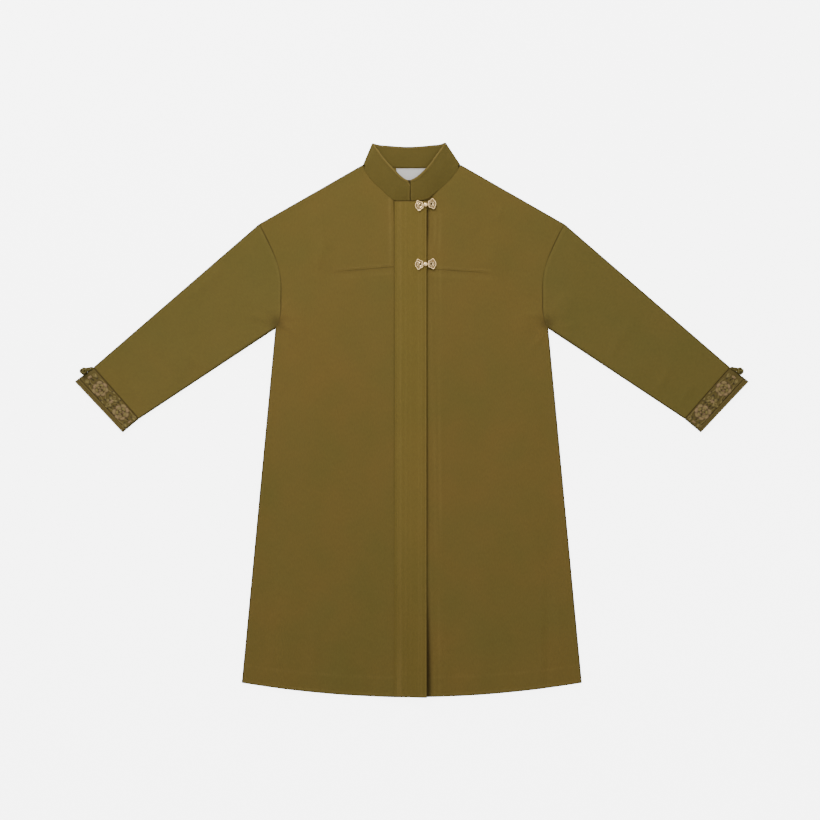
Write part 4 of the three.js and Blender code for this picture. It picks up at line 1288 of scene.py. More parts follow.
@dataclass(frozen=True)
class Sheet:
    """Flat cut of a cloth piece in metres, and what it lies on."""

    width: float
    length: float
    area: float
    rests_on: tuple[str, ...] = ()
    held: str = "laid"


def put(
    name: str, cut: Cut, finish: Finish, nodes: tuple[str, ...] = (),
    sharp: float = 60.0,
) -> bpy.types.Object:
    """Makes a piece's object at the origin and ties it to the frame.

    Args:
        name: the piece's name.
        cut: its mesh data.
        finish: the finish that gives its material.
        nodes: solids that it stands for.
        sharp: angle from which its edges stay crisp.

    Returns:
        The object.
    """
    mesh = cut.mesh(name, sharp)
    mesh.materials.append(finish.material())
    piece = bpy.data.objects.new(name, mesh)
    bpy.context.scene.collection.objects.link(piece)
    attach(piece, "root")
    if nodes:
        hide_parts(*nodes)
    LOG.info("%s: %d vertices, %d faces", name, len(mesh.vertices), len(mesh.polygons))
    return piece


def sewn(
    name: str, rows: list[tuple[Array, Array]], pitch: float = 3.4
) -> bpy.types.Object:
    """Rows of stitches as one piece.

    Args:
        name: the piece's name.
        rows: path and up direction of each row.
        pitch: distance from stitch to stitch.

    Returns:
        The object.
    """
    cut = Cut()
    for path, up in rows:
        points, faces, uv = stitches(path, up, pitch)
        flat = points.reshape(-1, 3)
        cut.add(points, faces, uv, tone=0.5 + 0.4 * uneven(flat[:, 1] + flat[:, 0], 160.0, 0.4))
    return put(name, cut, SEWING)


def seam_mask(distance: Array, width: float = 0.85, depth: float | Array = 0.8) -> Array:
    """Dark line of a seam: a bell over the distance from it."""
    return depth * bell(distance, width)


def worn_seam(at: Array, low: float, high: float, scale: float = 90.0, phase: float = 0.0) -> Array:
    """Depth of a seam's dark line, which swells and fades along it."""
    return mix(low, high, 0.5 + 0.5 * uneven(at, scale, phase))


UP = np.array([0.0, 0.0, 1.0])


def band_seam_depth(y: Array) -> Array:
    """Depth of the line beside the band: strong at the neck, nearly gone at the hem."""
    return mix(0.04, 0.42, smooth_step(-500.0, 180.0, y))


# Distance of a seam that isn't a piece's own
BEYOND = 1e3


@dataclass
class CoatBody:
    """Back, two fronts and two chest yokes."""

    step: float = 5.0
    neck_step: float = 3.0
    back_step: float = 9.0
    yoke_hem: float = 185.0
    yoke_chest: float = 162.0
    yoke_shoulder: float = 183.0
    pucker: float = 0.13
    # About how wide the back is out from the neck point, for its columns
    back_width: float = 210.0
    # About how wide a front is outside and inside the yoke's outer edge, for its columns
    outer_width: float = 150.0
    inner_width: dict[Hand, float] = field(
        default_factory=lambda: {Hand.RIGHT: 150.0, Hand.LEFT: 195.0}
    )
    # Row of stitches over the chest seam, and the hem's row, as distances from the edge
    yoke_stitches: float = 6.4
    hem_stitches: float = 38.0
    back: Sheet = Sheet(0.68, 1.064, 0.607)
    fronts: dict[Hand, Sheet] = field(default_factory=lambda: {
        Hand.RIGHT: Sheet(0.305, 1.015, 0.2395, ("back_cloth",)),
        Hand.LEFT: Sheet(0.37, 1.015, 0.2946, ("back_cloth",)),
    })
    yokes: dict[Hand, Sheet] = field(default_factory=lambda: {
        Hand.RIGHT: Sheet(0.148, 0.215, 0.0247, ("back_cloth",)),
        Hand.LEFT: Sheet(0.213, 0.216, 0.0343, ("back_cloth",)),
    })

    def yoke_outer_x(self, side_y: Array) -> Array:
        """Distance of the yoke's outer edge from the centre, for a row by its side point."""
        low, chest, high = -525.0, SIZES.chest_side_y, 392.0
        below = mix(self.yoke_hem, self.yoke_chest, (side_y - low) / (chest - low))
        above = mix(self.yoke_chest, self.yoke_shoulder, (side_y - chest) / (high - chest))
        return np.where(side_y < chest, below, above)

    def front_table(self, hand: Hand) -> tuple[Array, Array, Array]:
        """Rows of one front from the hem up to the shoulder fold, before they are made dense.

        Args:
            hand: side of the coat.

        Returns:
            Heights of the side points, centre points, and shares of the hem's arc.
        """
        centre_x = SIZES.front_seam if hand is Hand.RIGHT else SIZES.underlap_edge
        side_y = list(BODY_ROWS[:, 0])
        centre = [(centre_x, y) for y in BODY_ROWS[:, 1]]
        centre[0] = (centre_x, float(hem_arc(centre_x)))
        if hand is Hand.LEFT:
            side_y.append(UNDERLAP_SIDE_Y)
            centre.append((centre_x, SIZES.band_top - 0.1))
        table = COLLAR_RIGHT if hand is Hand.RIGHT else COLLAR_LEFT
        for seam_x, seam_y, top_x, top_y, _, row_y in table:
            if not math.isnan(row_y):
                run = np.array([seam_x - top_x, seam_y - top_y])
                run *= -SIZES.collar_to_neck_lap / np.linalg.norm(run)
                side_y.append(row_y)
                centre.append((seam_x + run[0], seam_y + run[1]))
        bow = np.concatenate([BODY_ROWS[:, 2], np.zeros(len(side_y) - len(BODY_ROWS))])
        return np.array(side_y), np.array(centre), bow

    def row_places(self, place: Array) -> Array:
        """Places of the dense rows: closest beside the hem and the chest seam."""
        spans = (
            (0, CHEST_ROW, self.step, True, True), (CHEST_ROW, NECK_ROW, self.step, True, False),
            (NECK_ROW, len(place) - 1, self.neck_step, False, False),
        )
        return np.unique(np.concatenate([
            place[a] + stations(place[b] - place[a], step, one, two) for a, b, step, one, two in spans
        ]))

    def front_rows(self, hand: Hand) -> tuple[Array, Array, Array, Array, int]:
        """Dense rows of one front, from the hem up to the shoulder fold.

        Args:
            hand: side of the coat.

        Returns:
            Side points, centre points, arc shares, places of the rows, and the chest row.
        """
        side_y, centre, bow = self.front_table(hand)
        neck = np.array([hand.value * SIZES.neck[0], SIZES.neck[1]])
        steps = LAID.fold_steps(SIZES.cloth)[::-1]
        towards = unit(centre[-1] - neck)
        side_y = np.append(side_y, SIZES.shoulder[1] - steps[0] * SHOULDER_FALL)
        centre = np.append(centre, [neck + towards * steps[0]], axis=0)
        bow = np.append(bow, 0.0)
        length = np.maximum(np.abs(np.diff(side_y)), np.linalg.norm(np.diff(centre, axis=0), axis=1))
        place = np.concatenate([[0.0], np.cumsum(length)])
        at = self.row_places(place)
        dense_y = smooth_through(place, side_y, at)
        straight = np.stack([np.interp(at, place, centre[:, k]) for k in range(2)], axis=-1)
        curved = smooth_through(place[NECK_ROW:], centre[NECK_ROW:], np.maximum(at, place[NECK_ROW]))
        dense_centre = np.where((at > place[NECK_ROW])[:, None], curved, straight)
        dense_bow = np.interp(at, place, bow)
        fold_y = SIZES.shoulder[1] - steps[1:] * SHOULDER_FALL
        fold_centre = neck + towards * steps[1:, None]
        chest = int(np.argmin(np.abs(at - place[CHEST_ROW])))
        at = np.concatenate([at, at[-1] + (steps[0] - steps[1:])])
        side = side_point(np.concatenate([dense_y, fold_y]))
        side[:, 0] *= hand.value
        centre_all = np.concatenate([dense_centre, fold_centre])
        return side, centre_all, np.concatenate([dense_bow, np.zeros(len(fold_y))]), at, chest

    def front_grid(self, hand: Hand, yoke: bool) -> tuple[Wall, int, int, dict[str, Array]]:
        """Grid of one front, or of its yoke, with distances from its seams.

        Args:
            hand: side of the coat.
            yoke: whether the grid is the yoke's, which keeps clear of the front.

        Returns:
            The wall, its chest row, its yoke column and the distances by name.
        """
        side, centre, bow, at, chest = self.front_rows(hand)
        length = np.linalg.norm(centre - side, axis=1)
        yoke_run = np.abs(side[:, 0]) - self.yoke_outer_x(side[:, 1])
        yoke_share = yoke_run / np.abs(side[:, 0] - centre[:, 0])
        steps = LAID.fold_steps(SIZES.cloth)
        first = steps[None, :] / length[:, None]
        wide = self.outer_width
        outer = stations(wide, self.step, False, True) / wide
        start = first[:, -1:]
        second = start + (yoke_share[:, None] - start) * outer[None, 1:]
        wide = self.inner_width[hand]
        inner = stations(wide, self.step, True, True) / wide
        third = yoke_share[:, None] + (1 - yoke_share[:, None]) * inner[None, 1:]
        shares = np.concatenate([first, second, third], axis=1)
        column = first.shape[1] + second.shape[1] - 1
        shares[:, -1] = 1.0
        points = side[:, None] + (centre - side)[:, None] * shares[..., None]
        chord = mix(hem_arc(side[:, :1]), hem_arc(centre[:, :1]), shares)
        x, y = points[..., 0], points[..., 1] + bow[:, None] * (hem_arc(points[..., 0]) - chord)
        from_chest = np.abs(at - at[chest])[:, None] * np.ones_like(x)
        if yoke:
            y = y - SIZES.closed_seam_lap * np.exp(-from_chest / 2)
        outer_face, inner_face = LAID.lie(hand, x, y)
        wall = Wall(outer_face, inner_face, plan_uv(outer_face))
        across = walked(outer_face, 1)
        far = {
            "hem": (at - at[0])[:, None] * np.ones_like(x),
            "side": across,
            "centre": across[:, -1:] - across,
            "chest": from_chest,
            "above": (at - at[chest])[:, None] * np.ones_like(x),
            "yoke": np.abs(across - across[:, column][:, None]),
            "shoulder": (at[-1] - at)[:, None] * np.ones_like(x),
        }
        return wall, chest, column, far

    def ripple(self, x: Array, y: Array, hand: Hand, distance: Array) -> Array:
        """Small puckers that run out from a seam and fade a few millimetres from it."""
        wave = uneven(x + 0.35 * y, 23.0, 1.3 * hand.value) * uneven(y - 0.2 * x, 31.0, 0.6)
        return self.pucker * wave * np.exp(-distance / 6.0) * (1 - np.exp(-distance / 0.8))

    def front_gaps(self, hand: Hand, chest: int, column: int, far: dict[str, Array]) -> dict[str, Array]:
        """Distances from a front's own seams.

        Args:
            hand: side of the coat.
            chest: row of the chest seam.
            column: column of the yoke's outer edge.
            far: distances from every line of the grid.

        Returns:
            Distances from the chest, yoke, centre and side seams, and from any sewn one.
        """
        rows = np.arange(far["hem"].shape[0])[:, None]
        columns = np.arange(far["hem"].shape[1])[None, :]
        gaps = {
            "chest": np.where((rows <= chest) & (columns >= column), far["chest"], BEYOND),
            "yoke": np.where((rows >= chest) & (columns <= column), far["yoke"], BEYOND),
            "centre": np.where(rows <= chest, far["centre"], BEYOND),
            "side": np.where(far["above"] > -100, far["side"], BEYOND),
        }
        sewn_ones = [gaps["chest"], gaps["side"], far["shoulder"]]
        if hand is Hand.RIGHT:
            sewn_ones.append(gaps["centre"])
        gaps["sewn"] = np.minimum.reduce(sewn_ones)
        return gaps

    def front_ridge(self, hand: Hand, x: Array, y: Array, chest: Array, hem: Array) -> Array:
        """Soft ridges of a front.

        Args:
            hand: side of the coat.
            x: places across the coat.
            y: places up the coat.
            chest: distances from the chest seam.
            hem: distances from the hem.

        Returns:
            Their height: under the chest seam, on the hem's roll and stitches, and the pressed lines.
        """
        ridge = 0.34 * bell(chest, 2.4, 12.0) * (0.7 + 0.3 * uneven(x, 70.0))
        ridge += 0.34 * bell(hem, 1.7, 4.4) * (0.75 + 0.25 * uneven(x, 120.0))
        ridge += 0.22 * bell(hem, 2.6, self.hem_stitches) * (0.6 + 0.4 * uneven(x, 90.0, 0.8))
        return ridge + self.pressed_lines(hand, x, y)

    def front(self, hand: Hand) -> None:
        """Builds a front: the skirt, and beside the yoke the strip up to the shoulder."""
        wall, chest, column, far = self.front_grid(hand, False)
        gaps = self.front_gaps(hand, chest, column, far)
        x, y = wall.outer[..., 0], wall.outer[..., 1]
        # The seam mask darkens the seam lines, and also paints the shade under the arm and the shadow beside
        # the band's free edge.
        wall.seam = np.maximum.reduce([
            self.chest_line(hand, x, gaps["chest"]),
            seam_mask(gaps["side"], 1.0, LAID.armhole_depth(y)),
            seam_mask(gaps["yoke"], 2.4, 0.02),
            seam_mask(gaps["centre"], 0.8, band_seam_depth(y)),
            self.band_shade(hand, x, y), LAID.underarm_shade(x, y),
        ])
        # Painted shade on the folded edges and along the hem's edge.
        wall.rim = np.maximum(LAID.rim(x, y), 1 - smooth_step(0.7, 2.6, far["hem"]))
        ridge = self.front_ridge(hand, x, y, gaps["chest"], far["hem"])
        # Painted highlight on the ridges.
        wall.worn = np.clip(ridge * 1.1, 0, 0.5)
        dent = self.yoke_dent(hand, far, y)
        wall.raise_outer(ridge + dent + self.ripple(x, y, hand, np.minimum(gaps["sewn"], far["hem"])))
        half = SIZES.cloth / 2
        wall.press(gaps["side"], 0.7 * LAID.armhole_depth(y), half)
        wall.press(gaps["chest"], 0.3 * self.chest_fade(x), half)
        wall.press(far["shoulder"], 0.3, half)
        wall.press(far["hem"], 0.95, half)
        if hand is Hand.RIGHT:
            wall.press(gaps["centre"], 0.5 * band_seam_depth(y), half)
        rows, columns = (np.arange(size - 1) for size in wall.outer.shape[:2])
        wall.cells = (rows[:, None] < chest) | (columns[None, :] < column)
        cut = Cut()
        cut.add_wall(wall)
        path = wall.outer[chest - 1, column + 6:-2] + np.array([0.0, -1.6, 0.05])
        thread = sewn(f"front_{hand.word}_seam_stitches", [(path, UP)], 3.2)
        put(
            f"front_{hand.word}_cloth", cut, COAT, (f"front_{hand.word}",),
        )

    def chest_line(self, hand: Hand, x: Array, gap: Array) -> Array:
        """Dark line of the yoke's lower seam, which fades out towards the armhole."""
        depth = worn_seam(x, 0.22, 0.42, 75.0, hand.value)
        return seam_mask(gap, 1.0, depth * self.chest_fade(x))

    def chest_fade(self, x: Array) -> Array:
        """Strength of the chest seam's line, which nearly vanishes at its outer end."""
        return 0.08 + 0.92 * (1 - smooth_step(self.yoke_chest - 40, self.yoke_chest - 6, np.abs(x)))

    def band_shade(self, hand: Hand, x: Array, y: Array) -> Array:
        """Contact shade on the left front along the band's free edge.

        It is deep between the clasps, and widens to the hem, where the edge curls up.
        """
        if hand is Hand.RIGHT:
            return np.zeros_like(x)
        low, high = 312.0, 424.0
        between = smooth_step(low - 14, low, y) * (1 - smooth_step(high, high + 10, y))
        beyond_edge = x - SIZES.band_right
        line = (0.34 + 0.5 * between) * bell(beyond_edge, 1.5, 0.8)
        curled = 1 - smooth_step(-500.0, -230.0, y)
        past = np.maximum(beyond_edge - 2.0, 0.0)
        under_curl = 0.85 * curled * bell(past, 1.0 + 5.0 * curled)
        return np.maximum(line, under_curl)

    def pressed_lines(self, hand: Hand, x: Array, y: Array) -> Array:
        """Faint ridges beside the band where the cloth under it has been pressed."""
        if hand is Hand.RIGHT:
            above = smooth_step(SIZES.chest_side_y + 16, SIZES.chest_side_y + 40, y)
            return 0.32 * bell(x, 2.6, -43.6) * above * (0.7 + 0.3 * uneven(y, 60.0))
        height = np.zeros_like(x)
        for line, width, top in ((38.6, 1.3, 0.2), (45.8, 1.6, 0.34), (55.8, 1.8, 0.36)):
            fade = 0.65 + 0.35 * uneven(y, 240.0, line)
            height += top * bell(x, width, line) * fade * (1 - smooth_step(395.0, 432.0, y))
        return height

    def yoke_dent(self, hand: Hand, far: dict[str, Array], y: Array) -> Array:
        """Soft trough along the yoke's outer edge, uneven and only over the chest seam."""
        depth = 0.14 + 0.14 * uneven(y, 85.0, 0.7 * hand.value)
        return -depth * bell(far["yoke"], 14.0) * smooth_step(-14.0, 12.0, far["above"])

    def yoke(self, hand: Hand) -> None:
        """Builds a chest yoke, with its topstitching along the chest seam."""
        wall, chest, column, far = self.front_grid(hand, True)
        gap = np.minimum.reduce([far["chest"], far["centre"], far["shoulder"]])
        x, y = wall.outer[..., 0], wall.outer[..., 1]
        at_band = np.where(y < SIZES.band_top + 2, band_seam_depth(y), 0.1)
        # The seam mask darkens the seam lines and also paints the shadow beside the band's free edge.
        wall.seam = np.maximum.reduce([
            self.chest_line(hand, x, far["chest"]), seam_mask(far["yoke"], 2.4, 0.02),
            seam_mask(far["centre"], 0.9, at_band), self.band_shade(hand, x, y),
        ])
        # Painted shade on the folded edges.
        wall.rim = LAID.rim(x, y)
        ridge = 0.26 * bell(far["chest"], 1.6, 4.2) - 0.16 * bell(far["chest"], 0.7, self.yoke_stitches)
        ridge *= (0.75 + 0.25 * uneven(x + y, 60.0, 0.4)) * smooth_step(0.0, 14.0, far["yoke"])
        ridge += self.pressed_lines(hand, x, y)
        # Painted highlight on the ridges and pressed lines.
        wall.worn = np.clip(ridge * 1.5, 0, 0.5)
        wall.raise_outer(ridge + self.yoke_dent(hand, far, y) + self.ripple(x, y, hand, gap))
        half = SIZES.cloth / 2
        wall.press(far["chest"], 0.3 * self.chest_fade(x), half)
        wall.press(far["centre"], 0.6 * at_band, half)
        wall.press(far["shoulder"], 0.3, half)
        rows, columns = (np.arange(size - 1) for size in wall.outer.shape[:2])
        wall.cells = (rows[:, None] >= chest) & (columns[None, :] >= column)
        cut = Cut()
        cut.add_wall(wall)
        row = int(np.argmin(np.abs(far["chest"][chest:, 0] - self.yoke_stitches))) + chest
        path = wall.outer[row, column + 6:-3] + np.array([0.0, 0.0, 0.08])
        thread = sewn(f"yoke_{hand.word}_stitches", [(path, UP)], 3.2)
        put(
            f"yoke_{hand.word}_cloth", cut, COAT, (f"yoke_{hand.word}",),
        )

    def back_rows(self) -> tuple[Array, Array, Array, Array, Array, Array]:
        """Dense rows of the back's left half, from the hem up to the shoulder fold.

        Returns:
            Places of the rows, side points, heights under the neck point and on the centre
            line, shares of the hem's arc and shares of the neckline's arc.
        """
        steps = LAID.fold_steps(SIZES.cloth)[::-1]
        shoulder = SIZES.shoulder[1] - steps * SHOULDER_FALL
        neck = SIZES.neck[1] - steps * NECK_FALL
        top = float(back_neck_y(0.0)) + SIZES.back_neck_lap - steps
        side_y = np.concatenate([BODY_ROWS[:, 0], [BACK_TOP_ROW[0], shoulder[0]]])
        neck_y = mix(BODY_ROWS[:, 1], BODY_ROWS[:, 0], BACK_NECK_SHARE)
        neck_y[0] = float(hem_arc(SIZES.neck[0]))
        neck_y = np.concatenate([neck_y, [BACK_TOP_ROW[1], neck[0]]])
        centre_y = np.concatenate([BODY_ROWS[:, 1], [BACK_TOP_ROW[2], top[0]]])
        centre_y[0] = SIZES.hem_y
        bow = np.concatenate([BODY_ROWS[:, 2], [0.0, 0.0]])
        place = np.concatenate([[0.0], np.cumsum(np.diff(centre_y))])
        at = stations(place[-1], self.back_step, True, False)
        turning = len(steps) - 1
        return (
            np.concatenate([at, at[-1] + (steps[0] - steps[1:])]),
            side_point(np.concatenate([np.interp(at, place, side_y), shoulder[1:]])),
            np.concatenate([np.interp(at, place, neck_y), neck[1:]]),
            np.concatenate([np.interp(at, place, centre_y), top[1:]]),
            np.concatenate([np.interp(at, place, bow), np.zeros(turning)]),
            np.concatenate([smooth_step(place[-2], place[-1], at), np.ones(turning)]),
        )

    def back_half(self) -> tuple[Array, Array, Array, Array]:
        """Points of the back's left half seen from above, and distances from its edges.

        Returns:
            Places across and up, distance from the hem, and distance from the top edge.
        """
        at, side, neck, centre, arc, into_neck = self.back_rows()
        length = np.hypot(side[:, 0] - SIZES.neck[0], side[:, 1] - neck)
        fine = LAID.fold_steps(SIZES.cloth)
        first = fine[None, :] / length[:, None]
        rest = stations(1.0, self.back_step / self.back_width)
        second = first[:, -1:] + (1 - first[:, -1:]) * rest[None, 1:]
        share = np.concatenate([first, second], axis=1)
        x = mix(side[:, :1], SIZES.neck[0], share)
        y = mix(side[:, 1:], neck[:, None], share)
        y = y + arc[:, None] * (hem_arc(x) - mix(hem_arc(side[:, :1]), hem_arc(SIZES.neck[0]), share))
        near_x = np.linspace(SIZES.neck[0], 0.0, 12)[None, 1:] * np.ones((len(side), 1))
        part = 1 - near_x / SIZES.neck[0]
        flat_y = mix(neck[:, None], centre[:, None], part)
        straight = mix(hem_arc(SIZES.neck[0]), SIZES.hem_y, part)
        flat_y = flat_y + arc[:, None] * (hem_arc(near_x) - straight)
        neck_chord = mix(back_neck_y(SIZES.neck[0]), back_neck_y(0.0), part)
        flat_y = flat_y + into_neck[:, None] * (back_neck_y(near_x) - neck_chord)
        return (
            np.concatenate([x, near_x], axis=1), np.concatenate([y, flat_y], axis=1),
            at - at[0], at[-1] - at,
        )

    def make_back(self) -> None:
        """Builds the back, which lies on the surface, with shallow troughs in its underside."""
        x, y, hem, top = self.back_half()
        right_out, right_in = LAID.lie(Hand.LEFT, x, y, Layer.BACK)
        left_out, left_in = LAID.lie(Hand.RIGHT, -x, y, Layer.BACK)
        outer = np.concatenate([left_out[:, :-1], right_out[:, ::-1]], axis=1)
        inner = np.concatenate([left_in[:, :-1], right_in[:, ::-1]], axis=1)
        wall = Wall(outer, inner, plan_uv(outer))
        across = walked(outer, 1)
        side = np.minimum(across, across[:, -1:] - across)
        hem, top = hem[:, None] * np.ones_like(side), top[:, None] * np.ones_like(side)
        wall.seam = seam_mask(np.minimum(side, top), 0.8, 0.7)
        # Painted shade on the folded edges and along the hem's edge.
        wall.rim = np.maximum(LAID.rim(outer[..., 0], outer[..., 1]), 1 - smooth_step(0.7, 2.6, hem))
        wall.press(np.minimum(side, top), 0.6, SIZES.cloth / 2)
        wall.press(hem, 0.95, SIZES.cloth / 2)
        cut = Cut()
        cut.add_wall(wall)
        line = outer[3, 14:-14, :2] + (0.0, 34.0)
        path = np.append(line, np.full((len(line), 1), 0.75), axis=1)
        thread = sewn("back_hem_stitches", [(path, -UP)], 9.0)
        put("back_cloth", cut, COAT, ("back",))

    def make(self) -> None:
        """Builds all five pieces."""
        self.make_back()
        for hand in Hand:
            self.front(hand)
            self.yoke(hand)


@dataclass
class FrontBand:
    """Lapped band over the front opening, its free edge curled up towards the hem."""

    curl: float = 9.0
    curl_start: float = -330.0
    curl_reach: float = 220.0
    # Pressed lines down the band: place across, half width, height
    lines: tuple[tuple[float, float, float], ...] = (
        (-31.2, 0.8, -0.34), (-28.4, 1.5, 0.22), (-22.6, 2.6, 0.34), (-12.0, 1.8, 0.2),
        (-2.5, 2.2, 0.1), (13.8, 1.4, 0.2), (18.9, 1.4, 0.24), (25.0, 0.7, -0.26), (27.6, 1.3, 0.2),
    )
    # The two lines that are sewn, by their place in the table
    stitched: tuple[int, int] = (0, 7)
    sheet: Sheet = Sheet(0.0643, 0.991, 0.0637, ("front_left_cloth",))

    def rise(self, x: Array, y: Array) -> Array:
        """Height that the free edge stands up: none at the seam, most at the hem's edge."""
        down = smooth_step(0.0, self.curl_reach, self.curl_start - y)
        return self.curl * down * smooth_step(-12.0, SIZES.band_right, x) ** 1.3

    def under(self, x: Array, y: Array) -> Array:
        """Height of the band's lower face, a lap clearance over the left front."""
        outer, _ = LAID.lie(Hand.LEFT, x, y)
        return outer[..., 2] + SIZES.lap_clearance + self.rise(x, y)

    def top_at(self, x: Array, y: Array) -> Array:
        """Points of the band's upper face."""
        return np.stack([x, y, self.under(x, y) + SIZES.band_cloth], axis=-1)

    def wander(self, index: int, y: Array) -> Array:
        """Place across the band of one pressed line, which wanders a little along it."""
        return self.lines[index][0] + 0.5 * uneven(y, 330.0, index * 1.7)

    def make(self) -> None:
        """Builds the band and its two rows of topstitching."""
        left, right = SIZES.front_seam - SIZES.closed_seam_lap, SIZES.band_right
        across = left + stations(right - left, 1.6, True, True)
        length = SIZES.band_top - SIZES.hem_y
        up = stations(length, 4.6, True, True) / length
        x = np.broadcast_to(across[None, :], (len(up), len(across)))
        low = hem_arc(across)[None, :]
        y = low + (SIZES.band_top - low) * up[:, None]
        under = self.under(x, y)
        upper_face = np.stack([x, y, under + SIZES.band_cloth], axis=-1)
        wall = Wall(upper_face, np.stack([x, y, under], axis=-1), plan_uv(upper_face))
        relief = np.zeros_like(x)
        for index, (_, width, height) in enumerate(self.lines):
            strength = 0.72 + 0.28 * uneven(y, 190.0, index * 2.1 + 0.4)
            relief += height * strength * bell(x, width, self.wander(index, y))
        free = right - x
        sewn_side = x - left
        hem, top = y - hem_arc(x), SIZES.band_top - y
        relief += 0.12 * uneven(y, 26.0, 0.3) * np.exp(-sewn_side / 5) * uneven(y, 61.0, 2.0)
        relief += 0.10 * uneven(y, 34.0, 1.1) * np.exp(-free / 6)
        relief += 0.30 * bell(hem, 1.7, 4.4)
        # Painted highlight on the band near the hem.
        painted_hem_highlight = (1 - smooth_step(-545.0, -400.0, y)) * bell(x, 7.0, -26)
        # Painted highlight on the pressed lines and along the free edge.
        wall.worn = np.clip(relief * 1.3, 0, 0.5) + 0.45 * bell(free, 1.1, 1.4)
        wall.worn = wall.worn + 0.4 * painted_hem_highlight
        side_depth = band_seam_depth(y)
        wall.seam = np.maximum(seam_mask(sewn_side, 0.8, side_depth), seam_mask(top, 0.9, 0.75))
        # Painted shade: the band darker towards the hem.
        wall.seam = np.maximum(wall.seam, 0.12 * (1 - smooth_step(-460.0, -160.0, y)))
        # Painted shade along the free edge and the hem's edge.
        wall.rim = np.maximum(1 - smooth_step(0.0, 0.6, free), 1 - smooth_step(0.7, 2.6, hem))
        wall.raise_outer(relief)
        wall.press(sewn_side, 0.5 * side_depth, SIZES.band_cloth / 2)
        wall.press(top, 0.45, SIZES.band_cloth / 2)
        wall.press(np.minimum(free, hem), 0.95, SIZES.band_cloth / 2)
        cut = Cut()
        cut.add_wall(wall)
        rows = []
        for index in self.stitched:
            along = np.linspace(SIZES.hem_y + 3, SIZES.band_top - 2, 220)
            path = self.top_at(self.wander(index, along), along)
            path[:, 2] -= 0.12
            rows.append((path, UP))
        thread = sewn("band_topstitching", rows)
        put("front_band_cloth", cut, BAND, ("front_band",))


